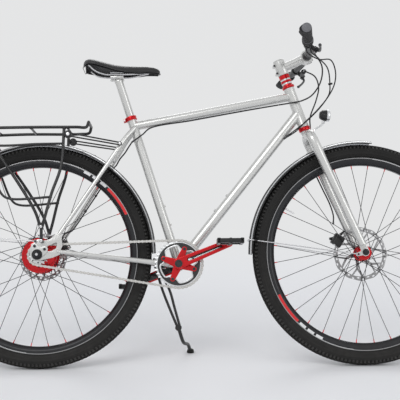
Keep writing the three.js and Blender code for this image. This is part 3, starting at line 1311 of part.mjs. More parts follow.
// Side stand: plates clamped around the chainstays behind the bracket, a twin-bar leg and a slotted foot
const standPlates = [bracket.z - 5.4, bracket.z + 16.5];
const plateThickness = 5;
const plateHalf = 26;
const standPivot = vec(387, 46, 300);
const lugOut = 39;
const upperPlate = { back: 22, front: 14 };
const lowerPlate = { back: 16, front: 20 };
const lug = { back: 9, front: 9, inner: 22, drop: 10, sink: 1 };
const plateBolt = { ahead: 17, radius: 3.4, head: 3 };
part('stand_bracket', join(
  block(
    vec(stayBridge.x - upperPlate.back, -plateHalf, standPlates[1]),
    vec(stayBridge.x + upperPlate.front, plateHalf, standPlates[1] + plateThickness)),
  block(
    vec(standPivot.x - lowerPlate.back, -plateHalf, standPlates[0] - plateThickness),
    vec(standPivot.x + lowerPlate.front, lugOut, standPlates[0])),
  block(
    vec(standPivot.x - lug.back, lug.inner, standPivot.z - lug.drop),
    vec(standPivot.x + lug.front, lugOut, standPlates[0] - lug.sink)),
  rod(
    vec(standPivot.x + plateBolt.ahead, 0, standPlates[0] - plateThickness),
    vec(standPivot.x + plateBolt.ahead, 0, standPlates[1] + plateThickness + plateBolt.head),
    plateBolt.radius, plateBolt.radius, 8),
), blackPaint);
const standBar = { radius: 4.5, z: [300, 250, 190, 132], lateZ: 248, out: [46, 47, 50, 52] };
const barRuns = [[382, 397, 420, 444], [396, 421, 437, 453]];
const barRises = [standBar.z, [standBar.z[0], standBar.lateZ, standBar.z[2], standBar.z[3]]];
const standBars = barRuns.map((xs, bar) => xs.map((x, i) => vec(x, standBar.out[i], barRises[bar][i])));
const standKnee = vec(449, 53, 122);
const kneeRise = 4;
const kneeHalf = [7, 5];
const bossRadius = 11;
const pivotAhead = 2;
part('stand_leg', join(
  standBars.map((points) => bent(points, standBar.radius, 5, 6)),
  rod(
    vec(standPivot.x + pivotAhead, lugOut + gap, standPivot.z),
    vec(standPivot.x + pivotAhead, standKnee.y, standPivot.z), bossRadius),
  rod(
    vec(standKnee.x, standKnee.y - kneeHalf[0], standKnee.z + kneeRise),
    vec(standKnee.x, standKnee.y + kneeHalf[1], standKnee.z + kneeRise), bossRadius),
), blackPaint);
const standFoot = vec(489, 180, 0);
standFoot.z = standFoot.y * Math.tan(radians(leanAngle));
const footRadius = 7;
const footArm = { ahead: [0, 6, 16, -8], out: [66, 69, 92], up: [6, -16, -45, 28], inset: 30 };
const footHub = { outer: 70, radius: 10 };
const footBall = { more: 3, shares: [1.3, 1.2, 0.8] };
const armPoints = footArm.out.map((out, i) => vec(standKnee.x + footArm.ahead[i], out,
  standKnee.z + footArm.up[i]));
const standFootForm = join(
  bent([
    ...armPoints,
    vec(standFoot.x + footArm.ahead[3], standFoot.y - footArm.inset, standFoot.z + footArm.up[3]),
    vec(standFoot.x, standFoot.y, standFoot.z + footRadius * cosine(leanAngle)),
  ], footRadius - 1, 6, 6),
  rod(
    vec(standKnee.x, standKnee.y + kneeHalf[1] + gap, standKnee.z + kneeRise),
    vec(standKnee.x, footHub.outer, standKnee.z + kneeRise), footHub.radius, footHub.radius, 10),
  new THREE.SphereGeometry(footRadius + footBall.more, 8, 6)
    .scale(...footBall.shares)
    .translate(standFoot.x, standFoot.y, standFoot.z + footRadius),
);
const leaning = new THREE.Matrix4().makeRotationX(radians(leanAngle) * right);
const ground = block(vec(0, 0, -tyreRadius),
  vec(wheelbase, tyreRadius, 0)).applyMatrix4(leaning.clone().invert());
part('stand_foot', cut(standFootForm, ground), blackPaint);

// Cables and hoses on their real routes
const hoseRadius = 2.5;
const cableRadius = 2.2;
const frontHose = [
  leverPoint(left, leverPlace - 46.7, 22), vec(930, 80, 985), vec(938, 58, 940), vec(925, 42, 890),
    steer(491, 40, 38), steer(455, 30, 58),
  steer(415, 8, 72.5), steer(370, -8, 66), steer(320, -10, 56), steer(250, -5, 55), steer(190, 0, 56),
    steer(150, -4, 52),
  steer(124, -16, 44),
];
part('front_brake_hose', bent(frontHose, hoseRadius, 26, 5), blackRubber);
const rearHoseFree = [
  leverPoint(right, leverPlace - 46.7, 22), vec(928, -84, 975), vec(926, -62, 930), vec(900, -40, 890),
    vec(868, -28, 874), vec(830, -22, 867.4),
  vec(790, -14, 862.8),
];
const rearHoseFixed = [
  vec(789, -14, 862.6), vec(700, -9, 848.8), vec(500, -9, 812.8), vec(360, -11, 787), vec(335, -20, 764),
    vec(300, -30, 736),
];
part('frame_cables', bent(rearHoseFixed, hoseRadius, 14, 5), blackRubber);
part('rear_hose_loop', bent(rearHoseFree, hoseRadius, 16, 5), blackRubber);
part('shift_cable_loops', join(
  bent([vec(862, -186.9, 1011), vec(868, -172, 996), vec(905, -164, 976), vec(946, -148, 978),
    vec(964, -128, 946), vec(963, -98, 906),
    vec(930, -62, 852), vec(884, -36, 806), vec(850, -28, 780), vec(812, -25, 752)], cableRadius, 15, 5),
  bent([vec(874, -186.4, 1013), vec(880, -174, 997), vec(905, -156, 982), vec(936, -136, 957),
    vec(950, -98, 914), vec(950, -70, 882),
    vec(914, -54, 836), vec(872, -32, 797), vec(846, -18, 772), vec(804.8, -12.6, 746.6)], cableRadius, 15,
      5),
  rod(vec(957, -104, 912), vec(945, -98, 911), 3.4, 3.4, 6),
), blackRubber);

// The bicycle leans onto its stand, and the origin is under its middle
upright.setRotationFromMatrix(leaning);
upright.updateMatrixWorld(true);
const extent = new THREE.Box3().setFromObject(upright, true);
upright.position.set(-(extent.min.x + extent.max.x) / 2, -(extent.min.y + extent.max.y) / 2, -extent.min.z);

export default bicycle;
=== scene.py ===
# %% [markdown]
# # A touring bicycle on its side stand
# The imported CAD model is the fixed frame. Each cell below dresses one group of its pieces with a smoother
# shape and a real finish. All places are written upright, in millimetres, with X forwards from the rear
# axle, Y to the rider's left and Z up. A helper then leans each piece onto the stand.

# %% Load the CAD model
from math import acos, atan2, cos, degrees, exp, hypot, pi, radians, sin, sqrt, tan
import bpy
import numpy as np
from mathutils import Matrix, Vector


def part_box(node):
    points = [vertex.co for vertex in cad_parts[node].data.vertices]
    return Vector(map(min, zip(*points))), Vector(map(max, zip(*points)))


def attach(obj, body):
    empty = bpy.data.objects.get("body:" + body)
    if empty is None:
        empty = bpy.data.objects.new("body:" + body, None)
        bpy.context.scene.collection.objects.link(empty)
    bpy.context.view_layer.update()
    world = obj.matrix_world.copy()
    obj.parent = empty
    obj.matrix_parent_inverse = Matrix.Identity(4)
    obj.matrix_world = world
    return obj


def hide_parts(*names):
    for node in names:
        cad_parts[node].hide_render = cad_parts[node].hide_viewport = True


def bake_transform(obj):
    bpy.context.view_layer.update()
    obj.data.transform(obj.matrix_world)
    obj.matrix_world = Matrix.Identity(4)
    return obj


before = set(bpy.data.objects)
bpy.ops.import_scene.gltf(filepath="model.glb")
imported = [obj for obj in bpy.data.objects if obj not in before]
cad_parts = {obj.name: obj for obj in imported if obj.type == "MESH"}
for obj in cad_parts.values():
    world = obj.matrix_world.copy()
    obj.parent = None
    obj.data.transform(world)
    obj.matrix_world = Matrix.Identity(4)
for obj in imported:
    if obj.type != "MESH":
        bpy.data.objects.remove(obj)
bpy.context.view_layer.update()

# %% [markdown]
# ## From upright millimetres to the leaning bicycle
# The real bicycle rests on its stand and leans 12 degrees to its left. Working upright keeps every tube
# in a plane that is easy to think in, so one matrix does the lean and the shift, and every finished piece
# has that matrix applied to its mesh.

# %% The leaning matrix
MM = 0.001
TYRE_RADIUS = 364
WHEELBASE = 1058
LEAN = radians(-12)
tyre_low, tyre_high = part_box("rear_tyre")
upright_axle = Matrix.Rotation(LEAN, 4, "X") @ Vector((0, 0, TYRE_RADIUS * MM))
shift = (tyre_low + tyre_high) / 2 - upright_axle
LEANING = Matrix.Translation((shift.x, shift.y, 0)) @ Matrix.Rotation(LEAN, 4, "X")
print("origin of the upright drawing:", [round(x, 4) for x in shift])

REAR_AXLE = Vector((0, 0, TYRE_RADIUS))
FRONT_AXLE = Vector((WHEELBASE, 0, TYRE_RADIUS))
BRACKET = Vector((452, 0, 331))
FULL = 2 * pi
RIGHT, LEFT = -1, 1
HANDS, SIDES = (RIGHT, LEFT), ((RIGHT, "right"), (LEFT, "left"))
ORIGIN = Vector((0, 0, 0))
HEAD_ANGLE, SEAT_ANGLE, FORK_OFFSET = 70.5, 72.3, 31


def along(angle):
    """A unit direction in the bicycle's plane, from its angle above straight ahead."""
    a = radians(angle)
    return Vector((cos(a), 0, sin(a)))


STEER_UP, STEER_FORWARD = along(180 - HEAD_ANGLE), along(90 - HEAD_ANGLE)
SEAT_UP, SEAT_FORWARD = along(180 - SEAT_ANGLE), along(90 - SEAT_ANGLE)
STEER_FOOT = FRONT_AXLE - STEER_FORWARD * FORK_OFFSET


def steer(up, forward=0, left=0):
    """A place measured along the steering axis, from the point beside the front axle."""
    return STEER_FOOT + STEER_UP * up + STEER_FORWARD * forward + Vector((0, left, 0))


def seat(up, forward=0, left=0):
    """A place measured along the seat tube, from the middle of the bottom bracket."""
    return BRACKET + SEAT_UP * up + SEAT_FORWARD * forward + Vector((0, left, 0))


STEERER, SEAT_TUBE, ACROSS = (steer(0), steer(1)), (seat(0), seat(1)), (ORIGIN, (0, 1, 0))


def at_side(place, out):
    return Vector((place[0], out, place[2]))


def across(centre, near, far, hand=LEFT):
    """Two places beside the centre, for what lies across the bicycle."""
    return at_side(centre, hand * near), at_side(centre, hand * far)


def flat(place):
    """The place as an (x, z) pair, for outlines."""
    return (place.x, place.z)


def on_circle(radius, a, x=0, z=0):
    """An (x, z) pair on a circle, at an angle in radians."""
    return (x + radius * cos(a), z + radius * sin(a))


def circled(centre, radius, a, out=0):
    """A place on a circle around an axle through the centre, out millimetres to the side."""
    return Vector((centre.x + radius * cos(a), out, centre.z + radius * sin(a)))


# %% [markdown]
# ## Camera, light and floor
# The photograph is a straight side view of the drive side from about 2.8 m away, taken from just below the
# height of the handlebar. Soft lamps on both sides and a bright world give the plain studio look.

# %% Camera
eye = Vector((465.7, -2755.9, 774.8)) * MM + Vector((shift.x, shift.y, 0))
yaw, pitch, roll = (radians(a) for a in (1.157, -4.807, -0.335))
forward = Vector((sin(yaw) * cos(pitch), cos(yaw) * cos(pitch), sin(pitch)))
right = Vector((cos(yaw), -sin(yaw), 0))
upward = right.cross(forward)
right, upward = (right * cos(roll) + upward * sin(roll), upward * cos(roll) - right * sin(roll))
bpy.ops.object.camera_add(location=eye)
camera = bpy.context.object
camera.name = "camera"
camera.rotation_euler = Matrix((right, upward, -forward)).transposed().to_euler()
camera.data.sensor_width = 36
camera.data.lens = 78.13
camera.data.clip_start, camera.data.clip_end = 0.05, 50
camera.data.dof.use_dof = False
bpy.context.scene.camera = camera
print("camera:", round(camera.data.lens, 1), "mm lens, eye at", [round(x, 2) for x in eye])

# %% Helpers for shader nodes


def set_sockets(node, values):
    for socket, value in dict(values).items():
        node.inputs[socket].default_value = value


def add_node(tree, kind, values=(), **settings):
    """A shader node with its own settings first, then the values of its sockets."""
    node = tree.nodes.new("ShaderNode" + kind)
    for label, value in settings.items():
        setattr(node, label, value)
    set_sockets(node, values)
    return node


def wire(tree, *rows):
    """Links each row's first node and output to its second node and input."""
    for source, output, target, socket in rows:
        tree.links.new(source.outputs[output], target.inputs[socket])


# %% Lamps and world
bpy.context.scene.view_settings.view_transform = "Standard"


def lamp(name, place, size, power):
    """A soft lamp that faces the middle of the bicycle."""
    bpy.ops.object.light_add(type="AREA", location=place)
    light = bpy.context.object
    light.name = name
    light.data.shape = "RECTANGLE"
    light.data.size, light.data.size_y = size
    light.data.energy = power
    light.rotation_euler = (Vector((0, 0, 0.5)) - Vector(place)).to_track_quat("-Z", "Y").to_euler()


PAPER = (0.78, 0.785, 0.79, 1)
lamp("key_lamp", (-1.6, -3.0, 3.4), (2.6, 2.0), 58)
lamp("fill_lamp", (2.8, -2.4, 1.6), (2.0, 2.0), 22)
lamp("back_lamp", (0.6, 3.4, 3.0), (2.6, 1.6), 30)
world = bpy.data.worlds.new("studio")
bpy.context.scene.world = world
world.use_nodes = True
sky = world.node_tree
sky.nodes.clear()
soft_air = add_node(sky, "Background", {"Color": (0.93, 0.95, 1, 1), "Strength": 0.62})
seen_air = add_node(sky, "Background", {"Color": PAPER, "Strength": 1})
ray = add_node(sky, "LightPath")
first_sight = add_node(sky, "Math", operation="MAXIMUM")
any_sight = add_node(sky, "Math", operation="MAXIMUM")
sky_mix = add_node(sky, "MixShader")
world_out = add_node(sky, "OutputWorld")
wire(sky, (ray, "Is Camera Ray", first_sight, 0), (ray, "Is Glossy Ray", first_sight, 1))
wire(sky, (ray, "Is Transmission Ray", any_sight, 0), (first_sight, 0, any_sight, 1))
wire(sky, (any_sight, 0, sky_mix, "Fac"), (soft_air, 0, sky_mix, 1), (seen_air, 0, sky_mix, 2))
wire(sky, (sky_mix, 0, world_out, "Surface"))

# %% Floor
bpy.ops.mesh.primitive_plane_add(size=30, location=(0, 0, -0.0005))
floor = bpy.context.object
floor.name = "floor"
floor_finish = bpy.data.materials.new("floor_paper")
floor_finish.use_nodes = True
sheet = floor_finish.node_tree
floor_bsdf = sheet.nodes["Principled BSDF"]
set_sockets(floor_bsdf, {"Roughness": 0.9, "Specular IOR Level": 0.1})
floor_grain = add_node(sheet, "TexNoise", {"Scale": 3})
floor_tint = add_node(sheet, "ValToRGB")
floor_tint.color_ramp.elements[0].color = (0.87, 0.872, 0.875, 1)
floor_tint.color_ramp.elements[1].color = (0.90, 0.902, 0.905, 1)
wire(sheet, (floor_grain, "Fac", floor_tint, "Fac"), (floor_tint, "Color", floor_bsdf, "Base Color"))
far_paper = add_node(sheet, "Emission", {"Color": PAPER})
floor_place = add_node(sheet, "TexCoord")
floor_reach = add_node(sheet, "VectorMath", operation="LENGTH")
far_share = add_node(sheet, "MapRange", {"From Min": 0.9, "From Max": 3.6}, interpolation_type="SMOOTHSTEP")
floor_mix = add_node(sheet, "MixShader")
wire(sheet, (floor_place, "Object", floor_reach, 0), (floor_reach, "Value", far_share, "Value"))
wire(sheet, (far_share, 0, floor_mix, "Fac"), (floor_bsdf, 0, floor_mix, 1), (far_paper, 0, floor_mix, 2))
wire(sheet, (floor_mix, 0, sheet.nodes["Material Output"], "Surface"))
floor.data.materials.append(floor_finish)
print("floor:", floor.name, "with", floor_finish.name)

# %% [markdown]
# ## Shared surface effects
# Paint, anodised metal and moulded plastic share a few habits: a fine grain in the surface, slow patches
# where hands and cloths have changed the gloss, and road dust that gathers low down. Each habit is a node
# group, built once and placed in every material that needs it with its own values.

# %% Node groups: grain, patches, dust
FLOAT, COLOR = "NodeSocketFloat", "NodeSocketColor"


def new_group(name, inputs, outputs):
    """An empty node group with its sockets, and the nodes at its two ends."""
    tree = bpy.data.node_groups.new(name, "ShaderNodeTree")
    for label, kind, value in inputs:
        socket = tree.interface.new_socket(label, in_out="INPUT", socket_type=kind)
        if value is not None:
            socket.default_value = value
    for label, kind in outputs:
        tree.interface.new_socket(label, in_out="OUTPUT", socket_type=kind)
    return tree, tree.nodes.new("NodeGroupInput"), tree.nodes.new("NodeGroupOutput")


def grain_group():
    """Fine bumps for a surface. A Stretch below 1 draws them out along X."""
    inputs = [("Scale", FLOAT, 900.0), ("Strength", FLOAT, 0.1), ("Stretch", FLOAT, 1.0)]
    tree, given, result = new_group("surface_grain", inputs, [("Height", FLOAT), ("Speckle", FLOAT)])
    place = add_node(tree, "TexCoord")
    spread = add_node(tree, "VectorMath", operation="MULTIPLY")
    axes = add_node(tree, "CombineXYZ", {1: 1, 2: 1})
    noise = add_node(tree, "TexNoise", {"Detail": 2})
    size = add_node(tree, "Math", operation="MULTIPLY")
    wire(tree, (given, "Stretch", axes, 0), (place, "Object", spread, 0), (axes, 0, spread, 1))
    wire(tree, (spread, 0, noise, "Vector"), (given, "Scale", noise, "Scale"))
    wire(tree, (noise, "Fac", size, 0), (given, "Strength", size, 1))
    wire(tree, (size, 0, result, "Height"), (noise, "Fac", result, "Speckle"))
    return tree


def patch_group():
    """A value that drifts slowly between two ends, for gloss that isn't even."""
    inputs = [("Scale", FLOAT, 14.0), ("Low", FLOAT, 0.3), ("High", FLOAT, 0.4)]
    tree, given, result = new_group("gloss_patches", inputs, [("Value", FLOAT)])
    place = add_node(tree, "TexCoord")
    noise = add_node(tree, "TexNoise", {"Detail": 3})
    span = add_node(tree, "MapRange", {"From Min": 0.3, "From Max": 0.7})
    wire(tree, (place, "Object", noise, "Vector"), (given, "Scale", noise, "Scale"))
    wire(tree, (noise, "Fac", span, "Value"), (given, "Low", span, "To Min"), (given, "High", span, "To Max"))
    wire(tree, (span, 0, result, "Value"))
    return tree


def dust_group():
    """Mixes a clean colour with road dust, more of it near the ground."""
    inputs = [("Color", COLOR, None), ("Dust", COLOR, (0.30, 0.28, 0.25, 1))]
    inputs += [("Amount", FLOAT, 0.1), ("Top", FLOAT, 0.6)]
    tree, given, result = new_group("road_dust", inputs, [("Color", COLOR), ("Mask", FLOAT)])
    place = add_node(tree, "TexCoord")
    parts = add_node(tree, "SeparateXYZ")
    level = add_node(tree, "MapRange", {"From Min": 0, "To Min": 1, "To Max": 0.15})
    noise = add_node(tree, "TexNoise", {"Scale": 60, "Detail": 4})
    first = add_node(tree, "Math", operation="MULTIPLY")
    second = add_node(tree, "Math", operation="MULTIPLY")
    mix = add_node(tree, "Mix", data_type="RGBA")
    wire(tree, (place, "Object", parts, 0), (place, "Object", noise, "Vector"))
    wire(tree, (parts, "Z", level, "Value"), (given, "Top", level, "From Max"))
    wire(tree, (level, 0, first, 0), (noise, "Fac", first, 1))
    wire(tree, (first, 0, second, 0), (given, "Amount", second, 1), (second, 0, mix, "Factor"))
    wire(tree, (given, "Color", mix, "A"), (given, "Dust", mix, "B"))
    wire(tree, (mix, "Result", result, "Color"), (second, 0, result, "Mask"))
    return tree


GRAIN, PATCHES, DUST = grain_group(), patch_group(), dust_group()
print("node groups:", GRAIN.name, PATCHES.name, DUST.name)

# %% [markdown]
# ## Finishes
# A finish is a Principled shader fed by the shared groups. Two colours drift into each other through the
# grain, the gloss drifts between two values, and a bump carries the grain. Constants such as metal, coat
# and sheen are set on the shader's own sockets.

# %% A helper that builds a finish


def finish(name, dark, light, metal, gloss, grain=(900, 0.1), bump=0.0004, coat=0.0, dust=0.1, stretch=1.0,
        sheen=0.0, shine=0.5):
    """A material between two colours, with gloss between two roughness values."""
    made = bpy.data.materials.new(name)
    made.use_nodes = True
    made.diffuse_color = (*light, 1)
    tree = made.node_tree
    shader = tree.nodes["Principled BSDF"]
    set_sockets(shader, {"Metallic": metal, "Coat Weight": coat, "Coat Roughness": 0.12})
    set_sockets(shader, {"Sheen Weight": sheen, "Specular IOR Level": shine})
    specks = {"Scale": grain[0], "Strength": grain[1], "Stretch": stretch}
    grain_node = add_node(tree, "Group", specks, node_tree=GRAIN)
    patch_node = add_node(tree, "Group", {"Low": gloss[0], "High": gloss[1]}, node_tree=PATCHES)
    tint = add_node(tree, "ValToRGB", name="tint")
    for stop, place, shade in zip(tint.color_ramp.elements, (0.3, 0.7), (dark, light)):
        stop.position = place
        stop.color = (*shade, 1)
    dust_node = add_node(tree, "Group", {"Amount": dust}, name="dust", node_tree=DUST)
    relief = add_node(tree, "Bump", {"Distance": bump, "Strength": 0.6}, name="relief")
    wire(tree, (grain_node, "Speckle", tint, "Fac"), (tint, "Color", dust_node, "Color"))
    wire(tree, (dust_node, "Color", shader, "Base Color"), (patch_node, "Value", shader, "Roughness"))
    wire(tree, (grain_node, "Height", relief, "Height"), (relief, "Normal", shader, "Normal"))
    return made


silver_paint = finish("silver_paint", (0.57, 0.57, 0.555), (0.66, 0.66, 0.645), 0.6, (0.25, 0.31),
    grain=(2600, 0.4), bump=0.000002, coat=0.4, dust=0.04)
polished_alloy = finish("polished_alloy", (0.66, 0.67, 0.68), (0.78, 0.79, 0.80), 0.9, (0.2, 0.3),
    grain=(1400, 0.4), bump=0.000004, dust=0.04, stretch=0.1)
red_anodised = finish("red_anodised", (0.50, 0.001, 0.005), (0.62, 0.003, 0.010), 0.7, (0.22, 0.3),
    grain=(1800, 0.4), bump=0.000003, coat=0.3, dust=0.03)
black_alloy = finish("black_alloy", (0.008, 0.008, 0.010), (0.018, 0.019, 0.023), 0.5, (0.26, 0.36),
    grain=(1600, 0.4), bump=0.00003, coat=0.2, dust=0.05)
black_coat = finish("black_powder_coat", (0.006, 0.006, 0.0065), (0.013, 0.013, 0.014), 0.0, (0.30, 0.40),
    grain=(1500, 1.0), bump=0.00005, coat=0.15, dust=0.04, shine=0.4)
moulded_black = finish("moulded_black", (0.008, 0.008, 0.0085), (0.016, 0.016, 0.017), 0.0, (0.42, 0.55),
    grain=(1900, 1.0), bump=0.00008, dust=0.05, shine=0.35)
gloss_black = finish("gloss_black", (0.005, 0.005, 0.006), (0.010, 0.010, 0.011), 0.0, (0.16, 0.24),
    grain=(700, 0.4), bump=0.00002, coat=0.4, dust=0.05)
hose_black = finish("hose_black", (0.006, 0.006, 0.007), (0.012, 0.012, 0.013), 0.0, (0.36, 0.48),
    grain=(2400, 1.0), bump=0.00005, dust=0.04, shine=0.4)
grip_rubber = finish("grip_rubber", (0.008, 0.008, 0.009), (0.018, 0.018, 0.019), 0.0, (0.66, 0.80),
    grain=(1500, 1.0), bump=0.00025, dust=0.03, sheen=0.05, shine=0.25)
grey_cap = finish("grey_cap", (0.10, 0.10, 0.11), (0.15, 0.15, 0.16), 0.0, (0.45, 0.58), grain=(1600, 1.0),
    bump=0.0001, dust=0.04)
bright_steel = finish("bright_steel", (0.56, 0.56, 0.57), (0.72, 0.72, 0.73), 0.9, (0.24, 0.36),
    grain=(1200, 0.6), bump=0.00003, dust=0.05, stretch=0.2)
chain_steel = finish("chain_steel", (0.42, 0.41, 0.39), (0.70, 0.69, 0.66), 0.8, (0.28, 0.45),
    grain=(500, 1.0), bump=0.00004, dust=0.1)
dark_steel = finish("dark_steel", (0.03, 0.03, 0.033), (0.07, 0.07, 0.075), 0.8, (0.30, 0.42),
    grain=(1300, 0.6), bump=0.00004, dust=0.06)
print("finishes:", len(bpy.data.materials))

# %% [markdown]
# ## Modelling by hand, from a script
# Every piece starts as a primitive and is shaped with the same operators that a person would use. The
# helpers below keep the steps short: one turns a profile as on a lathe, one sweeps a tube along points,
# one cuts a plate from outlines, and one rounds the edges of a block.

# %% Selecting, joining and standing a piece up


def deselect():
    if bpy.context.mode != "OBJECT":
        bpy.ops.object.mode_set(mode="OBJECT")
    bpy.ops.object.select_all(action="DESELECT")


def pick(piece):
    deselect()
    piece.select_set(True)
    bpy.context.view_layer.objects.active = piece
    return piece


def coat(piece, material):
    piece.data.materials.clear()
    piece.data.materials.append(material)
    return piece


def apply_all(piece):
    pick(piece)
    for modifier in list(piece.modifiers):
        bpy.ops.object.modifier_apply(modifier=modifier.name)
    return piece


def joined(*pieces):
    members = [p for group in pieces for p in (group if isinstance(group, (list, tuple)) else [group])]
    deselect()
    for piece in members:
        piece.select_set(True)
    bpy.context.view_layer.objects.active = members[0]
    if len(members) > 1:
        bpy.ops.object.join()
    return bpy.context.object


def bake_place(piece):
    pick(piece)
    bpy.ops.object.transform_apply(location=True, rotation=True, scale=True)
    return piece


def moved(piece, matrix):
    piece.matrix_world = matrix @ piece.matrix_world
    return piece


def clean_mesh(threshold=0.0):
    """Merges the active piece's points within the threshold and turns its faces outwards."""
    bpy.ops.object.mode_set(mode="EDIT")
    bpy.ops.mesh.select_all(action="SELECT")
    if threshold:
        bpy.ops.mesh.remove_doubles(threshold=threshold)
    bpy.ops.mesh.normals_make_consistent(inside=False)
    bpy.ops.object.mode_set(mode="OBJECT")


def stand_up(piece, name, smooth):
    """Names the piece, leans it and writes its place into its mesh."""
    moved(piece, LEANING @ Matrix.Scale(MM, 4))
    bake_place(piece)
    bpy.ops.object.shade_smooth_by_angle(angle=radians(smooth))
    piece.name = piece.data.name = name
    print(name, len(piece.data.polygons), "faces")


def fit(piece, name, body, nodes=(), smooth=38):
    """Stands the finished piece up and hands it to its body, in place of its CAD nodes."""
    stand_up(piece, name, smooth)
    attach(piece, body)
    if nodes:
        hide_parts(*nodes)


# %% A turned piece
def aim(start, toward, resting=(0, 0, 1)):
    """Carries what was drawn along the resting direction onto the line from start toward a place."""
    start, toward = Vector(start), Vector(toward)
    turn = Vector(resting).rotation_difference((toward - start).normalized())
    return Matrix.Translation(start) @ turn.to_matrix().to_4x4()


def turned(profile, start, toward, material, steps=40, closed=False):
    """Spins (radius, distance) pairs about the line from start toward a second point."""
    deselect()
    bpy.ops.mesh.primitive_plane_add(size=1, location=(0, 0, 0))
    piece = bpy.context.object
    bpy.ops.object.mode_set(mode="EDIT")
    bpy.ops.mesh.merge(type="CENTER")
    bpy.ops.transform.translate(value=(profile[0][0], 0, profile[0][1]))
    path = list(profile) + ([profile[0]] if closed else [])
    for (r0, d0), (r1, d1) in zip(path, path[1:]):
        bpy.ops.mesh.extrude_vertices_move(TRANSFORM_OT_translate={"value": (r1 - r0, 0, d1 - d0)})
    bpy.ops.mesh.select_all(action="SELECT")
    bpy.ops.mesh.spin(steps=steps, angle=FULL, center=(0, 0, 0), axis=(0, 0, 1))
    clean_mesh(0.002)
    coat(piece, material)
    return moved(piece, aim(start, toward))


def pin(start, end, radius, material, steps=24, edge=0.5, head=None):
    """A round bar with broken edges; head is an end radius where it tapers."""
    length = (Vector(end) - Vector(start)).length
    last = radius if head is None else head
    edge = min(edge, radius * 0.45, length * 0.45)
    return turned([(0, 0), (radius - edge, 0), (radius, edge), (last, length - edge), (last - edge, length),
        (0, length)], start, end, material, steps)


def sleeve(start, end, outer, inner, material, steps=40, edge=0.5):
    length = (Vector(end) - Vector(start)).length
    return turned([(inner, 0), (outer - edge, 0), (outer, edge), (outer, length - edge),
        (outer - edge, length), (inner, length)], start, end, material, steps, closed=True)


# %% A tube through points
def smooth_path(points, count):
    """Points on a smooth curve through the given ones, evenly spread in its parameter."""
    given = [Vector(p) for p in points]
    given = [given[0] * 2 - given[1], *given, given[-1] * 2 - given[-2]]
    made = []
    spans = len(given) - 3
    for k in range(count + 1):
        t = min(spans - 1e-9, spans * k / count)
        i = int(t)
        p0, p1, p2, p3 = given[i:i + 4]
        d1, d2, d3 = ((b - a).length ** 0.5 for a, b in ((p0, p1), (p1, p2), (p2, p3)))
        m1 = (p1 - p0) / d1 - (p2 - p0) / (d1 + d2) + (p2 - p1) / d2
        m2 = (p2 - p1) / d2 - (p3 - p1) / (d2 + d3) + (p3 - p2) / d3
        m1, m2, u = m1 * d2, m2 * d2, t - i
        made.append(p1 * (2 * u ** 3 - 3 * u ** 2 + 1) + m1 * (u ** 3 - 2 * u ** 2 + u)
            + p2 * (3 * u ** 2 - 2 * u ** 3) + m2 * (u ** 3 - u ** 2))
    return made


def tube(points, radius, material, sides=16, closed=False):
    """A tube along points; radius is one value or one for each point."""
    deselect()
    bpy.ops.curve.primitive_nurbs_path_add()
    piece = bpy.context.object
    curve = piece.data
    curve.splines.clear()
    spline = curve.splines.new("POLY")
    spline.points.add(len(points) - 1)
    sizes = radius if isinstance(radius, (list, tuple)) else [radius] * len(points)
    for dot, place, size in zip(spline.points, points, sizes):
        dot.co = (*place, 1)
        dot.radius = size
    spline.use_cyclic_u = closed
    curve.bevel_depth = 1
    curve.bevel_resolution = (sides - 4) // 2
    curve.use_fill_caps = not closed
    piece.location = (0, 0, 0)
    bpy.ops.object.convert(target="MESH")
    piece = bpy.context.object
    clean_mesh(0.0005)
    return coat(piece, material)


# %% A plate cut from outlines, and a block with rounded edges
def disc_outline(x, z, radius, count=24):
    return [on_circle(radius, FULL * i / count, x, z) for i in range(count)]


def slot_outline(one, radius_one, two, radius_two, count=12):
    """The outline around two discs and the straight edges between them."""
    dx, dz = two[0] - one[0], two[1] - one[1]
    heading = atan2(dz, dx)
    lift = acos((radius_one - radius_two) / hypot(dx, dz))

    def bend(centre, radius, start, end):
        angles = [start + (end - start) * i / count for i in range(count + 1)]
        return [on_circle(radius, a, *centre) for a in angles]
    near = bend(one, radius_one, heading + lift, heading + FULL - lift)
    return near + bend(two, radius_two, heading - lift, heading + lift)


def turning(outline):
    return sum(a[0] * b[1] - b[0] * a[1] for a, b in zip(outline, outline[1:] + outline[:1]))


def plate(outlines, near, far, material, edge=0.4, steps=2):
    """A flat plate between two places along Y. The first outline is the outer one, the others are holes."""
    near, far = sorted((near, far))
    deselect()
    bpy.ops.curve.primitive_bezier_circle_add()
    piece = bpy.context.object
    curve = piece.data
    curve.dimensions = "2D"
    curve.splines.clear()
    for k, outline in enumerate(outlines):
        outline = list(outline)
        if (turning(outline) > 0) != (k == 0):
            outline.reverse()
        spline = curve.splines.new("POLY")
        spline.points.add(len(outline) - 1)
        for dot, (x, z) in zip(spline.points, outline):
            dot.co = (x, z, 0, 1)
        spline.use_cyclic_u = True
    curve.fill_mode = "BOTH"
    curve.extrude = (far - near) / 2 - edge
    curve.bevel_depth = edge
    curve.bevel_resolution = steps
    curve.offset = -edge
    piece.location = (0, 0, 0)
    bpy.ops.object.convert(target="MESH")
    piece = bpy.context.object
    clean_mesh(0.002)
    coat(piece, material)
    return moved(piece, Matrix.Translation((0, (near + far) / 2, 0)) @ Matrix.Rotation(pi / 2, 4, "X"))


def block(low, high, material, edge=1.0, steps=2):
    low, high = Vector(low), Vector(high)
    deselect()
    bpy.ops.mesh.primitive_cube_add(size=1, location=(low + high) / 2, scale=high - low)
    piece = bpy.context.object
    bpy.ops.object.transform_apply(location=False, rotation=False, scale=True)
    rounding = piece.modifiers.new("rounding", "BEVEL")
    rounding.width, rounding.segments = edge, steps
    apply_all(piece)
    return coat(piece, material)


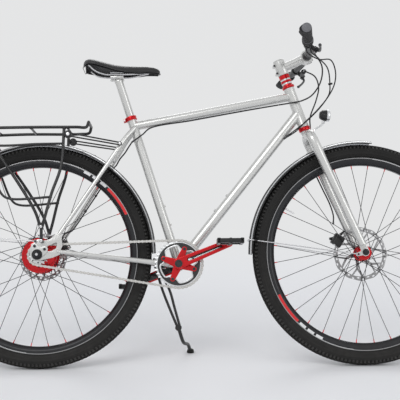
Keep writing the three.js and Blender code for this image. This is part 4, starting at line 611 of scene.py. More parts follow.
def ringed(piece, count):
    """Repeats a piece around the Y axis through the origin."""
    bake_place(piece)
    bpy.ops.object.empty_add(location=(0, 0, 0), rotation=(0, FULL / count, 0))
    turner = bpy.context.object
    bpy.context.view_layer.update()
    repeat = piece.modifiers.new("repeat", "ARRAY")
    repeat.use_relative_offset = False
    repeat.use_object_offset = True
    repeat.offset_object = turner
    repeat.count = count
    apply_all(piece)
    bpy.data.objects.remove(turner)
    return piece


# %% [markdown]
# ## Bolts
# Socket heads hold most small parts of a bicycle. The head is a short cylinder whose round socket is inset
# and pushed down, so that it still reads as a bolt from close by.

# %% A socket bolt
def socket_bolt(foot, away, radius, height, material=dark_steel):
    """A bolt head that stands on foot and faces away."""
    deselect()
    bpy.ops.mesh.primitive_cylinder_add(vertices=24, radius=radius, depth=height, location=(0, 0, height / 2))
    piece = bpy.context.object
    rounding = piece.modifiers.new("rounding", "BEVEL")
    rounding.width, rounding.segments, rounding.limit_method = radius * 0.12, 2, "ANGLE"
    apply_all(piece)
    top = max(piece.data.polygons, key=lambda face: face.center.z + face.area * 1e-6)
    for face in piece.data.polygons:
        face.select = face.index == top.index
    bpy.ops.object.mode_set(mode="EDIT")
    bpy.ops.mesh.select_mode(type="FACE")
    bpy.ops.mesh.inset(thickness=radius * 0.42, depth=0)
    bpy.ops.mesh.extrude_region_move(TRANSFORM_OT_translate={"value": (0, 0, -height * 0.55)})
    bpy.ops.mesh.select_mode(type="VERT")
    bpy.ops.object.mode_set(mode="OBJECT")
    coat(piece, material)
    foot, away = Vector(foot), Vector(away)
    return moved(piece, aim(foot, foot + away))

# %% [markdown]
# ## The frame
# A welded frame is a set of round tubes that meet in beads of weld. Each tube is swept along its centre
# line, the head tube and the bottom bracket shell are turned so that their ends flare, the rear ends are
# cut from plate, and the weld beads are traced where one tube's wall enters the other's.

# %% Weld beads
def weld(run_start, run_dir, run_radius, into_start, into_dir, into_radius, bead=1.5, steps=56):
    """A bead where a round tube that starts on another tube's axis leaves that tube's wall."""
    run_dir, into_dir = Vector(run_dir).normalized(), Vector(into_dir).normalized()
    first = run_dir.orthogonal().normalized()
    second = run_dir.cross(first)
    points = []
    for i in range(steps):
        a = FULL * i / steps
        rim = first * cos(a) + second * sin(a)
        foot = Vector(run_start) + rim * run_radius - Vector(into_start)
        foot_flat = foot - into_dir * foot.dot(into_dir)
        run_flat = run_dir - into_dir * run_dir.dot(into_dir)
        qa, qb = run_flat.length_squared, 2 * foot_flat.dot(run_flat)
        qc = foot_flat.length_squared - into_radius ** 2
        root = max(qb * qb - 4 * qa * qc, 0) ** 0.5
        points.append(Vector(into_start) + foot + run_dir * ((-qb + root) / (2 * qa)))
    sizes = [bead * (1 + 0.12 * sin(i * 2.4)) for i in range(steps)]
    return tube(points, sizes, silver_paint, 8, closed=True)


# %% Main tubes
HEAD_LOW, HEAD_HIGH = 461, 603
head_tube = turned([(15.3, HEAD_LOW), (17.4, HEAD_LOW), (18.3, HEAD_LOW + 1), (18.3, HEAD_LOW + 9),
    (17.5, HEAD_LOW + 12), (17.5, HEAD_HIGH - 12), (18.3, HEAD_HIGH - 9), (18.3, HEAD_HIGH - 1),
    (17.4, HEAD_HIGH), (15.3, HEAD_HIGH)], *STEERER, silver_paint, 64, closed=True)
shell = turned([(17.8, -34), (20.4, -34), (21, -33.4), (21, 33.4), (20.4, 34), (17.8, 34)], BRACKET,
    at_side(BRACKET, 1), silver_paint, 64, closed=True)
top_start, top_end = seat(487), steer(HEAD_HIGH - 29)
down_end = steer(HEAD_LOW + 51)
seat_tube = turned([(13.9, 0), (14.9, 0), (14.9, 470), (14.9, 506), (15.2, 507), (15.2, 519), (14.9, 520),
    (13.9, 520)], *SEAT_TUBE, silver_paint, 64, closed=True)
top_tube = tube([top_start, top_end], 14.3, silver_paint, 64)
down_tube = tube([BRACKET, down_end], 17.45, silver_paint, 64)
welds = [weld(BRACKET, down_end - BRACKET, 17.45, BRACKET, (0, 1, 0), 21, 1.7),
    weld(BRACKET, SEAT_UP, 14.9, BRACKET, (0, 1, 0), 21, 1.6),
    weld(down_end, BRACKET - down_end, 17.45, steer(0), STEER_UP, 17.5, 1.7),
    weld(top_end, top_start - top_end, 14.3, steer(0), STEER_UP, 17.5, 1.5),
    weld(top_start, top_end - top_start, 14.3, seat(0), SEAT_UP, 14.9, 1.5)]
print("main tubes and", len(welds), "weld beads")

# %% Stays, bridges and rear ends
stays = []
for hand in HANDS:
    low_path = smooth_path([(438, hand * 24, 332.5), (404, hand * 30, 335), (371, hand * 35, 338),
        (300, hand * 43.5, 346.5), (180, hand * 57, 360.5), (62, hand * 70.7, 374)], 40)
    low_sizes = [9 if i < 16 else 9 - 2.5 * (i - 16) / 24 for i in range(41)]
    high_path = smooth_path([seat(478, 2, hand * 17), (276, hand * 31, 747), (250, hand * 40, 705),
        (206, hand * 47, 638), (68, hand * 70.7, 428)], 40)
    high_sizes = [8 if i < 14 else 8 - 1.5 * (i - 14) / 26 for i in range(41)]
    stays += [tube(low_path, low_sizes, silver_paint, 32), tube(high_path, high_sizes, silver_paint, 32)]
    stays.append(weld((438, hand * 24, 332.5), low_path[3] - low_path[0], 9, BRACKET, (0, 1, 0), 21, 1.2, 40))
    end_plate = [(76, 438), (77, 412), (80, 392), (76, 383), (72, 364), (50, 354), (26, 349), (12, 345.5),
        (0, 345), (-12, 348), (-20, 354), (-24, 363), (-24, 372), (-21, 385), (-16, 398), (-8, 408), (2, 414),
        (11, 412), (20, 409), (31, 410), (44, 416), (52, 424), (59, 434), (67, 439)]
    axle_slot = slot_outline((-4, 364), 5.3, (4, 364), 5.3, 10)
    window = [(33, 392), (46, 396), (60, 405), (63, 398), (60, 384), (46, 376), (34, 374), (29, 380)]
    stays.append(plate([end_plate, axle_slot, window], hand * 67.5, hand * 73.5, silver_paint, 0.9))
BRIDGE = Vector((235, 0, 685))
bridge = [tube(across(BRIDGE, -40, 40), 6, silver_paint, 24),
    tube([(390, -33, 338), (390, 33, 338)], 6, silver_paint, 24)]
print("stays, their welds and the rear ends:", len(stays), "parts;", len(bridge), "bridges")

# %% Bosses, tabs and cable guides
GUARD_UNDERSIDE = 378
small = [sleeve(seat(up, 14.2), seat(up, 18.4), 4.5, 2.3, silver_paint, 24) for up in (136, 200)]
down_run = (down_end - BRACKET).normalized()
down_out = Vector((-down_run.z, 0, down_run.x))
for run in (215, 279):
    foot = BRACKET + down_run * run
    small.append(sleeve(foot + down_out * 16.8, foot + down_out * 20.9, 4.5, 2.3, silver_paint, 24))
small += [pin((262, hand * 34, 727), (262, hand * 49, 727), 5.7, silver_paint, 24) for hand in HANDS]
away = (BRIDGE - REAR_AXLE).normalized()
small.append(pin(BRIDGE, REAR_AXLE + away * GUARD_UNDERSIDE, 3.8, silver_paint, 20))
run = (top_end - top_start).normalized()
below = Vector((0, -1, -0.35)).normalized() * 13.6
for share in (0.2, 0.55, 0.88):
    spot = top_start.lerp(top_end, share) + below
    small.append(pin(spot - run * 5, spot + run * 5, 2.0, silver_paint, 12, 0.4))
frame_piece = joined(head_tube, shell, seat_tube, top_tube, down_tube, welds, stays, bridge, small)
fit(frame_piece, "frame_tubes", "frame_body", ["frame"])

# %% [markdown]
# ## Seat collar and headset
# The collar and the cups are small turned rings in red anodised metal. Their grooves and chamfers catch
# the light, so the profile carries more steps than the CAD solid does.

# %% Seat collar
collar_band = turned([(15.3, 507), (18.6, 507), (19.1, 507.6), (19.1, 511), (18.2, 511.6), (18.2, 516),
    (19.1, 516.6), (19.1, 519.6), (18.6, 520.4), (15.3, 520.4)], *SEAT_TUBE, red_anodised, 64,
    closed=True)
collar_lugs = [block((-7, side_y, -5.6), (2, side_y + 6, 5.6), red_anodised, 1.6, 3)
    for side_y in (-7.4, 1.4)]
for lug in collar_lugs:
    moved(lug, Matrix.Translation(seat(513.5, -19.5)) @ Matrix.Rotation(radians(-17.7), 4, "Y"))
collar_bolt = socket_bolt(seat(513.5, -23, -8.6), (0, -1, 0), 3.4, 3, bright_steel)
collar_nut = socket_bolt(seat(513.5, -23, 8.0), (0, 1, 0), 3.4, 2.4, bright_steel)
fit(joined(collar_band, collar_lugs, collar_bolt, collar_nut), "seat_clamp", "frame_body", ["seat_collar"])

# %% Bottom bracket unit and headset cups
unit_face = [(9.8, 34.2), (18.6, 34.2), (19.6, 34.6), (20, 35.2), (20, 35.9), (18.8, 36.5), (13, 36.5),
    (12.4, 36), (9.8, 36)]
unit_tools = [turned(unit_face, BRACKET, at_side(BRACKET, hand), dark_steel, 64, closed=True)
    for hand in HANDS]
unit_body = sleeve(*across(BRACKET, -34.3, 34.3), 17.2, 9.8, dark_steel, 40)
fit(joined(unit_tools, unit_body), "bracket_bearings", "frame_body", ["bottom_bracket"])
lower_cup = turned([(14.9, 448.3), (18.4, 448.3), (19.7, 449.3), (19.9, 451.8), (19.2, 452.4), (19.2, 453.2),
    (19.9, 453.8), (19.9, 457.8), (18.6, 460.7), (14.9, 460.7)], *STEERER, red_anodised, 64,
    closed=True)
fit(lower_cup, "lower_cup_ring", "frame_body", ["lower_headset_cup"])
upper_cup = turned([(14.9, 603.3), (18.9, 603.3), (20.6, 604.6), (21.2, 606.6), (20.7, 607.4), (20.7, 608.2),
    (21.2, 609), (19.8, 611.6), (17, 613.2), (16.2, 616.8), (14.9, 616.9)], *STEERER, red_anodised,
    64, closed=True)
fit(upper_cup, "upper_cup_ring", "frame_body", ["upper_headset_cup"])

# %% Spacers on the steerer
stack, foot = [], 617.4
for height, tint in ((6.2, polished_alloy), (7, red_anodised), (6.2, polished_alloy), (13.6, red_anodised)):
    bulge = 18.0 if tint == red_anodised else 16.8
    stack.append(turned([(14.6, foot), (bulge - 0.6, foot), (bulge, foot + 0.6), (bulge, foot + height - 0.6),
        (bulge - 0.6, foot + height), (14.6, foot + height)], *STEERER, tint, 48, closed=True))
    foot += height + 0.2
fit(joined(stack), "spacer_stack", "steering_body", ["steerer_spacers"])

# %% [markdown]
# ## The fork
# The photographed fork is a unicrown: two straight, fairly thick blades sweep into the steerer at the
# crown and run forward at their foot for the rake. A swept tube with a radius at each point gives the
# taper, and the ends are plates with an eye for the mudguard stay.

# %% Fork
GUARD_EYE = (1032, 357)
fork_parts = []
for hand in HANDS:
    path = smooth_path([steer(431.5, 3, hand * 2), steer(428.2, 3, hand * 30), steer(415.2, 4, hand * 45.5),
        steer(402, 5, hand * 50.3), steer(330, 9.7, hand * 52), steer(215, 17, hand * 55),
        steer(26, 29.8, hand * 60)], 60)
    sizes = [16.5 if i < 28 else 16.5 - 4.0 * (i - 28) / 32 for i in range(61)]
    fork_parts.append(tube(path, sizes, silver_paint, 48))
    fork_parts.append(turned([(0, -1), (8, -0.4), (12.2, 1.6), (12.5, 4), (12.5, 6)],
        steer(25.4, 29.8, hand * 60), steer(60, 27.5, hand * 59.4), silver_paint, 40))
    mount = steer(42, 31)
    end_outline = slot_outline(flat(FRONT_AXLE), 12.8, flat(mount), 10.8, 14)
    axle_hole = disc_outline(*flat(FRONT_AXLE), 5.3)
    fork_parts.append(plate([end_outline, axle_hole], hand * 50, hand * 56, silver_paint, 0.9))
    eye_outline = slot_outline(flat(FRONT_AXLE), 8.6, GUARD_EYE, 5.8, 12)
    fork_parts.append(plate([eye_outline, disc_outline(*GUARD_EYE, 2.4), axle_hole], hand * 50.4, hand * 55.6,
        silver_paint, 0.7))
steerer = sleeve(steer(430), steer(700), 14.3, 12.5, silver_paint, 48)
race = turned([(14, 434), (15.6, 440), (17.4, 444.5), (17.4, 447.4), (16.6, 448), (14, 448)], *STEERER,
    silver_paint, 64)
crown = steer(431.5, 3)
toward = (crown - FRONT_AXLE).normalized()
seat_bolt = pin(crown, FRONT_AXLE + toward * GUARD_UNDERSIDE, 3.8, bright_steel, 20)
fork_piece = joined(fork_parts, steerer, race, seat_bolt)
fit(fork_piece, "fork_blades", "steering_body", ["fork"])

# %% [markdown]
# ## Stem and handlebar
# The stem is forged: a clamp on the steerer, a tapering neck and a clamp on the bar whose front half is a
# separate plate held by four bolts. The bar itself is drawn thinner outside the clamp and swept back, so
# it is one tube with a radius at each point.

# %% Stem
STEM_LOW, STEM_TOP = 652, 702
BAR = steer(684, 93.7)
clamp = turned([(14.7, STEM_LOW), (18.6, STEM_LOW), (19.3, STEM_LOW + 1), (19.3, STEM_TOP - 1.4),
    (18.4, STEM_TOP - 0.4), (14.7, STEM_TOP - 0.4)], *STEERER, silver_paint, 56, closed=True)
neck = tube(smooth_path([steer(677, 10), steer(678.5, 40), steer(682, 70), steer(684, 83)], 16),
    [15.6 - 0.12 * i for i in range(17)], silver_paint, 40)
half_hub = [(16.2, -21), (20.2, -21), (20.9, -20.2), (20.9, 20.2), (20.2, 21), (16.2, 21)]
rear_half = turned(half_hub, BAR, at_side(BAR, 1), silver_paint, 64, closed=True)
front_half = turned(half_hub, BAR, at_side(BAR, 1), silver_paint, 64, closed=True)
for half, keep_front in ((rear_half, False), (front_half, True)):
    bake_place(half)
    pick(half)
    bpy.ops.object.mode_set(mode="EDIT")
    bpy.ops.mesh.select_all(action="SELECT")
    cut_at = BAR + STEER_FORWARD * (0.6 if keep_front else 0)
    bpy.ops.mesh.bisect(plane_co=cut_at, plane_no=STEER_FORWARD, use_fill=True, clear_inner=keep_front,
        clear_outer=not keep_front)
    bpy.ops.object.mode_set(mode="OBJECT")
pinch = [pin(steer(up, -20.5, -11), steer(up, -20.5, 11), 5, silver_paint, 28, 1.2) for up in (663, 691)]
pinch += [socket_bolt(steer(up, -20.5, -11), (0, -1, 0), 3.6, 1.6) for up in (663, 691)]
cap = turned([(0, 701.4), (15.4, 701.4), (17.6, 701.8), (18.2, 702.8), (18.2, 704.6), (17, 706),
    (13.5, 706.5), (12.8, 705.6), (9.5, 705), (0, 705)], *STEERER, silver_paint, 56)
cap_bolt = socket_bolt(steer(704.4), STEER_UP, 4.2, 2)
fit(joined(clamp, neck, rear_half, pinch, cap, cap_bolt), "stem_forging", "steering_body", ["stem"])

# %% Face plate
plate_bolts = []
for hand in HANDS:
    for tier in (-1, 1):
        foot = BAR + STEER_UP * tier * 17.4 + Vector((0, hand * 13, 0))
        plate_bolts.append(pin(foot + STEER_FORWARD, foot + STEER_FORWARD * 13, 4.4, silver_paint, 20, 1.2))
        plate_bolts.append(socket_bolt(foot + STEER_FORWARD * 12.8, STEER_FORWARD, 2.9, 2.4))
fit(joined(front_half, plate_bolts), "stem_front_plate", "steering_body", ["stem_face_plate"])

# %% Handlebar
BAR_HALF, BAR_STRAIGHT = 338, 62


def bar_end(hand, out=BAR_HALF):
    """A place on the swept part of the bar, out millimetres from its middle."""
    knee = BAR + Vector((0, hand * BAR_STRAIGHT, 0))
    tip = BAR + Vector((-46, hand * BAR_HALF, -7))
    return knee.lerp(tip, (out - BAR_STRAIGHT) / (BAR_HALF - BAR_STRAIGHT))


bar_points, bar_sizes = [], []
for out in (BAR_HALF, 300, 250, 200, 150, 100, 76, 66, 60, 54, 46, 40, 36, 32, 28):
    bulge = Vector((-(max(out - 50, 0) ** 2) * 0.008, -out, 0))
    bar_points.append(bar_end(RIGHT, out) if out > BAR_STRAIGHT else BAR + bulge)
    bar_sizes.append(11.1 if out > 40 else 15.9 - max(0, out - 28) * 0.4)
left_points = [at_side(p, -p.y) for p in reversed(bar_points)]
bar_piece = tube(bar_points + left_points, bar_sizes + bar_sizes[::-1], black_coat, 40)
fit(bar_piece, "flat_bar", "steering_body", ["handlebar"])

# %% [markdown]
# ## Grips and the twist shifter
# The grips have a wing for the palm. A turned rubber sleeve gets shallow ribs, and then the rings near its
# end are drawn out backwards and flattened, which is how the wing grows out of the round part. The disc
# at the end is a second, grey material.

# %% Grips
def winged_grip(hand):
    start, end = bar_end(hand, 220.6), bar_end(hand, 340.6)
    length = (end - start).length
    profile = [(11.6, 0), (15, 0), (16.4, 1.4)]
    profile += [(15.5 if k % 2 else 16, 3 + (length - 8) * k / 25) for k in range(26)]
    profile += [(15.4, length - 2.5), (13, length - 1), (11.6, length - 1)]
    body = turned(profile, ORIGIN, (0, hand, 0), grip_rubber, 44, closed=True)
    bake_place(body)
    for v in body.data.vertices:
        share = min(max((abs(v.co.y) - length * 0.28) / (length * 0.5), 0), 1)
        swell = sin(share * pi / 2) ** 2 * (1 if share < 0.9 else 1 - (share - 0.9) * 3)
        radius = hypot(v.co.x, v.co.z)
        if radius > 13 and v.co.x < 0:
            back = (-v.co.x / radius) ** 1.6 * swell
            v.co.x -= back * 9.5
            v.co.z = v.co.z * (1 - 0.3 * back) - back * 2
    disc = turned([(0, length - 1.6), (12.6, length - 1.6), (14.6, length - 1), (15, length + 0.4),
        (13.6, length + 1.6), (9, length + 2.2), (0, length + 2.2)], ORIGIN, (0, hand, 0), grey_cap, 40)
    ring = turned([(12, 0.2), (16.9, 0.2), (17.4, 1), (17.4, 3.4), (16.9, 4.2), (12, 4.2)], ORIGIN,
        (0, hand, 0), grey_cap, 40, closed=True)
    return moved(joined(body, disc, ring), aim(start, end, (0, hand, 0)))


for hand, word in SIDES:
    fit(winged_grip(hand), word + "_palm_grip", "steering_body", [word + "_grip"])

# %% Twist shifter
shift_start, shift_end = bar_end(RIGHT, 189.6), bar_end(RIGHT, 219.2)
shifter_core = turned([(11.9, 0), (15.5, 0), (18.2, 1), (18.4, 4.5), (17.4, 5.2), (17.4, 24), (18.4, 24.8),
    (18.2, 27), (15.4, 28.6), (11.9, 28.6)], ORIGIN, (0, -1, 0), moulded_black, 48, closed=True)
rib = block((17.0, -23.4, -0.9), (18.4, -6, 0.9), grip_rubber, 0.5, 2)
shifter_piece = joined(shifter_core, ringed(rib, 22))
gap = (shift_end - shift_start).normalized() * 0.4
moved(shifter_piece, Matrix.Translation(gap) @ aim(shift_start, shift_end, (0, -1, 0)))
fit(shifter_piece, "shifter_barrel", "shifter_body", ["twist_shifter"])

# %% [markdown]
# ## Brake levers
# Each hydraulic lever is a clamp on the bar, a fluid tank that runs inwards beside it, and a blade on a
# pin. The tank is a tube with a swelling radius, and the blade is a tube that bends outwards and thickens
# at its tip.

# %% Lever bodies and blades
LEVER_FORWARD = along(-38)
LEVER_UP = Vector((-LEVER_FORWARD.z, 0, LEVER_FORWARD.x))
PIVOT = (164, 34)


def lever_point(hand, out, forward_by, up=0):
    """A place beside the bar: out along it, then forwards and up as the lever is tilted."""
    return bar_end(hand, out) + LEVER_FORWARD * forward_by + LEVER_UP * up


def lever_body(hand):
    def at(out, forward_by, up=0):
        return lever_point(hand, out, forward_by, up)
    band = sleeve(bar_end(hand, 151), bar_end(hand, 165), 15, 11.7, black_coat, 48, 1.2)
    seam_bolt = socket_bolt(at(158, -14.2), -LEVER_FORWARD, 3, 2)
    tank_path = smooth_path([at(114, 22), at(124, 22.6), at(140, 24), at(156, 27)], 14)
    tank_sizes = [5.2, 7.4, 8.4, 8.8, 8.9, 8.9, 8.9, 8.9, 8.8, 8.6, 8.4, 8.2, 8, 7.6, 6.6]
    tank = tube(tank_path, tank_sizes, black_coat, 28)
    lid = plate([slot_outline((0, 0), 5.6, (27, 0), 5.6, 10)], -1.1, 1.1, gloss_black, 0.5)
    run = (at(150, 25) - at(123, 22.5)).normalized()
    basis = Matrix((run, LEVER_UP, run.cross(LEVER_UP))).transposed().to_4x4()
    moved(lid, Matrix.Translation(at(123, 22.6, 8.4)) @ basis)
    neck = pin(at(158, 11.5), at(158, 30), 7.6, black_coat, 28, 0.8)
    jaw = [pin(at(*PIVOT, up), at(*PIVOT, up + 3.6), 5.8, black_coat, 24, 0.6) for up in (-8.8, 5.2)]
    hinge = pin(at(*PIVOT, -9.6), at(*PIVOT, -8.6), 3, bright_steel, 16)
    nose = pin(at(117, 22), at(111.6, 21.8), 4.4, bright_steel, 20, 0.8, head=3.6)
    return joined(band, seam_bolt, tank, lid, neck, jaw, hinge, nose)


def lever_blade(hand):
    def at(out, forward_by, up=0):
        return lever_point(hand, out, forward_by, up)
    path = smooth_path([at(*PIVOT), at(180, 46), at(209, 50), at(236, 50), at(256, 49)], 24)
    sizes = [4.2 - 0.9 * sin(i / 24 * pi) * 0.4 + (1.0 if i > 21 else 0) for i in range(25)]
    blade = tube(path, sizes, black_alloy, 20)
    eye = pin(at(*PIVOT, -3.9), at(*PIVOT, 3.9), 6.4, black_alloy, 28, 0.6)
    hinge = pin(at(*PIVOT, -10.1), at(*PIVOT, 10.1), 1.8, bright_steel, 16, 0.3)
    return joined(blade, eye, hinge)


for hand, word in SIDES:
    fit(lever_body(hand), word + "_lever_clamp", "steering_body", [word + "_brake_body"])
    fit(lever_blade(hand), word + "_lever_blade", word + "_lever_body", [word + "_brake_lever"])

# %% [markdown]
# ## Seat post, clamp and rails
# The post is a satin tube with a flared head. Two bolts draw a bridge down onto the saddle's rails, which
# lie in a cradle on the head. The rails are bent wire: two sides and a bow at the nose.

# %% Post, clamp and rails
RAIL_Z, RAIL_MID = 969, seat(668).x
post = turned([(11.6, 330), (13.2, 330), (13.6, 330.6), (13.6, 643), (14.4, 646), (14.8, 650), (13.6, 656),
    (11.6, 660), (0, 660)], *SEAT_TUBE, silver_paint, 64)


def at_rails(along_by, out, z):
    """A place by the clamp: along_by in front of its middle."""
    return Vector((RAIL_MID + along_by, out, z))


cradle = block(at_rails(-22, -25, 955.6), at_rails(22, 25, 964.4), silver_paint, 2.2, 3)
ears = [block(at_rails(s - 5, -5.4, 951), at_rails(s + 5, 5.4, 957), silver_paint, 1.4, 2) for s in (-18, 18)]
fit(joined(post, cradle, ears), "post_tube", "seat_body", ["seatpost"])
bridge_bar = block(at_rails(-22, -25, 972.3), at_rails(22, 25, 978.3), polished_alloy, 1.8, 3)
clamp_bolts = [pin(at_rails(s, 0, 966), at_rails(s, 0, 974), 2.9, dark_steel, 20, 0.3) for s in (-18, 18)]
clamp_bolts += [socket_bolt(at_rails(s, 0, 977.8), (0, 0, 1), 4.2, 2.6) for s in (-18, 18)]
fit(joined(bridge_bar, clamp_bolts), "rail_bridge", "seat_body", ["saddle_clamp"])
NOSE = 353
rails = []
for hand in HANDS:
    rails.append(tube(smooth_path([(NOSE, hand * 5.5, 977.6), (NOSE - 26, hand * 13, 973.4),
        (RAIL_MID + 42, hand * 22, RAIL_Z), (RAIL_MID, hand * 22, RAIL_Z), (RAIL_MID - 36, hand * 22, RAIL_Z),
        (179, hand * 34, 978), (157, hand * 44, 996)], 44), 3.3, bright_steel, 20))
rails.append(tube(smooth_path([(NOSE - 4, -7, 976.6), (NOSE + 1, -3.5, 978), (NOSE + 1.6, 0, 978.2),
    (NOSE + 1, 3.5, 978), (NOSE - 4, 7, 976.6)], 10), 3.3, bright_steel, 20))
fit(joined(rails), "rail_wire", "seat_body", ["saddle_rails"])

# %% [markdown]
# ## The saddle
# The cover is drawn tight over foam on a moulded shell. A grid is pulled to the measured sections, a wall
# is added below it, and a subdivision rounds it all. Foam swells a little between the shell's edge and the
# crown, so the crown is lifted by a smooth amount, and a groove runs along the middle. A thin welt closes
# the cover against the shell.

# %% Saddle sections
PLACES = (0, 0.03, 0.08, 0.16, 0.28, 0.42, 0.56, 0.70, 0.82, 0.92, 0.975, 1)
WIDTHS = (0.50, 0.74, 0.93, 1, 0.95, 0.72, 0.48, 0.35, 0.29, 0.25, 0.19, 0.07)
DROPS = (0.30, 0.08, 0.02, 0.13, 0.40, 0.63, 0.71, 0.72, 0.73, 0.84, 1.02, 1.30)


def section_at(share):
    half = np.interp(share, PLACES, WIDTHS) * 72.6
    top = 1021.2 - 30 * np.interp(share, PLACES, DROPS)
    return half, top


def on_saddle(share, around_by, drop=0.0, inside=0.0):
    """A place on the cover: share from back to nose, around_by from -1 to 1 across it."""
    half, top = section_at(share)
    skirt = min(25, half * 0.9 + 3)
    a = around_by * pi / 2
    swell = min(0.9 * sin(abs(around_by) * pi), 0.5)
    groove = 1.6 * exp(-(around_by * half / 5) ** 2) * exp(-((share - 0.45) / 0.3) ** 2)
    z = top - skirt * (1 - cos(a)) - drop - groove + swell
    return Vector((137.6 + 256.6 * share, (half - inside) * sin(a), z))


# %% Saddle cover
deselect()
bpy.ops.mesh.primitive_grid_add(x_subdivisions=46, y_subdivisions=26, size=2)
cover = bpy.context.object
for v in cover.data.vertices:
    share = 0.5 + v.co.x / 2
    share = share * share * (3 - 2 * share) * 0.35 + share * 0.65
    v.co = on_saddle(share, v.co.y)
wall = cover.modifiers.new("foam", "SOLIDIFY")
wall.thickness, wall.offset = 5.5, -1
rounding = cover.modifiers.new("rounding", "SUBSURF")
rounding.levels = rounding.render_levels = 1
apply_all(cover)
clean_mesh()
leather = finish("saddle_skin", (0.006, 0.006, 0.0065), (0.014, 0.014, 0.015), 0.0, (0.34, 0.48),
    grain=(1300, 1.0), bump=0.00015, coat=0.1, dust=0.02, shine=0.4)
skin = leather.node_tree
pores = add_node(skin, "TexVoronoi", {"Scale": 900})
where = add_node(skin, "TexCoord")
creases = add_node(skin, "Bump", {"Distance": 0.00025, "Strength": 0.5})
wire(skin, (where, "Object", pores, "Vector"), (pores, "Distance", creases, "Height"))
wire(skin, (skin.nodes["relief"], "Normal", creases, "Normal"),
    (creases, "Normal", skin.nodes["Principled BSDF"], "Normal"))
coat(cover, leather)
print("saddle cover:", len(cover.data.polygons), "faces in", leather.name)

# %% Saddle base and welt
base_shares = [i / 40 for i in range(41)]
edge_right = [on_saddle(s, -0.985, 1.2) for s in base_shares]
edge_left = [on_saddle(s, 0.985, 1.2) for s in reversed(base_shares)]
welt = tube(edge_right + edge_left, 1.15, gloss_black, 10, closed=True)
deselect()
bpy.ops.mesh.primitive_grid_add(x_subdivisions=40, y_subdivisions=14, size=2)
base = bpy.context.object
for v in base.data.vertices:
    share = 0.03 + 0.94 * (0.5 + v.co.x / 2)
    v.co = on_saddle(share, v.co.y * 0.93, 7.5, 3.0)
shell_wall = base.modifiers.new("shell", "SOLIDIFY")
shell_wall.thickness, shell_wall.offset = 2, -1
apply_all(base)
coat(base, moulded_black)
saddle_piece = joined(cover, welt, base)
fit(saddle_piece, "saddle_cover", "seat_body", ["saddle"], smooth=60)

# %% [markdown]
# ## Wheels
# Each wheel is made about the origin, with its axle along Y, and is then carried to its axle. The tyre is a
# turned casing with moulded lines on its sidewalls; its blocks are made once for one short stretch of tread
# and repeated around the rim. The rim is a hollow turned section, spokes are made four at a time and
# repeated, and the discs are plates with their windows cut out.

# %% Tyre section
TUBE, TUBE_PLACE = 26.2, 337
tyre_rubber = finish("tyre_rubber", (0.006, 0.006, 0.006), (0.014, 0.0135, 0.013), 0.0, (0.60, 0.76),
    grain=(700, 1.0), bump=0.00015, dust=0.07, sheen=0.03, shine=0.22)
rim_black = finish("rim_black", (0.006, 0.0065, 0.008), (0.013, 0.014, 0.018), 0.3, (0.26, 0.38),
    grain=(1500, 0.5), bump=0.00003, coat=0.2, dust=0.06, shine=0.4)
spoke_black = finish("spoke_black", (0.020, 0.020, 0.022), (0.050, 0.050, 0.054), 0.8, (0.30, 0.42),
    grain=(1300, 0.5), bump=0.00004, dust=0.05)
stripe_red = finish("stripe_red", (0.62, 0.004, 0.008), (0.74, 0.008, 0.014), 0.0, (0.3, 0.4), bump=0.000004,
    coat=0.3, dust=0.03)
# Lighter rubber for the shoulder blocks is a painted highlight, so that they stand out against the darker
# casing.
painted_highlight_rubber = finish("painted_highlight_rubber", (0.022, 0.022, 0.022), (0.050, 0.049, 0.047), 0.0, (0.55, 0.7),
    grain=(800, 1.0), bump=0.00005, dust=0.1, shine=0.35)
disc_steel = finish("disc_steel", (0.26, 0.26, 0.265), (0.40, 0.40, 0.405), 0.85, (0.26, 0.38),
    grain=(900, 0.6), bump=0.000005, dust=0.03)
stripe_white = finish("stripe_white", (0.74, 0.74, 0.74), (0.82, 0.82, 0.82), 0.0, (0.3, 0.4), bump=0.000004,
    coat=0.3)


def casing_size(angle):
    """The casing's radius: lower under the blocks, with ribs on the sidewall."""
    angle = abs(angle)
    if angle < 60:
        return TUBE - 3.0
    ribs = {62: -1.2, 66: -0.2, 82: -0.2, 84: 0.35, 86: 0.35, 88: -0.2, 104: -0.1, 106: 0.4, 108: 0.4,
        110: -0.1}
    return TUBE - 0.6 + ribs.get(angle, 0)


def casing_profile():
    """The tyre's closed section, from one bead over the tread to the other and back inside."""
    angles = list(range(-56, 57, 8)) + [62, 66, 74, 82, 84, 86, 88, 96, 104, 106, 108, 110, 118, 126]
    angles = sorted(set(angles + [-a for a in angles]))
    outside = [on_circle(casing_size(a), radians(a), TUBE_PLACE) for a in angles]
    inside = [on_circle(22.5, radians(a), TUBE_PLACE) for a in (112, 60, 0, -60, -112)]
    bead = [(318.2, 12.4), (317.8, 11.2), (313, 11), (313, 8.8), (320.4, 8.8)]
    return outside + bead + inside + [(r, -y) for r, y in reversed(bead)]


# %% Tread blocks
def block_of_tread(angle, turn, wide, long_by, height):
    """One rubber block at an angle around the casing's section, turn radians along the wheel."""
    deselect()
    bpy.ops.mesh.primitive_cube_add(size=1, location=(0, 0, 0))
    piece = bpy.context.object
    piece.scale = (long_by, wide, height + 0.8)
    bpy.ops.object.transform_apply(location=False, rotation=False, scale=True)
    for v in piece.data.vertices:
        if v.co.z > 0:
            v.co.x, v.co.y = v.co.x * 0.82, v.co.y * 0.84
    # The shoulder blocks get the lighter rubber as a painted highlight; the centre blocks keep the tyre's own
    # rubber.
    coat(piece, painted_highlight_rubber if abs(angle) > 40 else tyre_rubber)
    lift = Matrix.Translation((0, 0, TUBE - (height + 0.8) / 2))
    roll = Matrix.Rotation(-radians(angle), 4, "X")
    return moved(piece, Matrix.Rotation(turn, 4, "Y") @ Matrix.Translation((0, 0, TUBE_PLACE)) @ roll @ lift)


TREAD_PITCHES = 88
BLOCK_ROWS = ((0, 6.5, 8.5, 0), (16, 5.2, 8, 0.25), (31, 5.2, 8, 0), (47, 6.4, 7.4, 0.25),
    (60, 3.6, 5.4, 0.25))


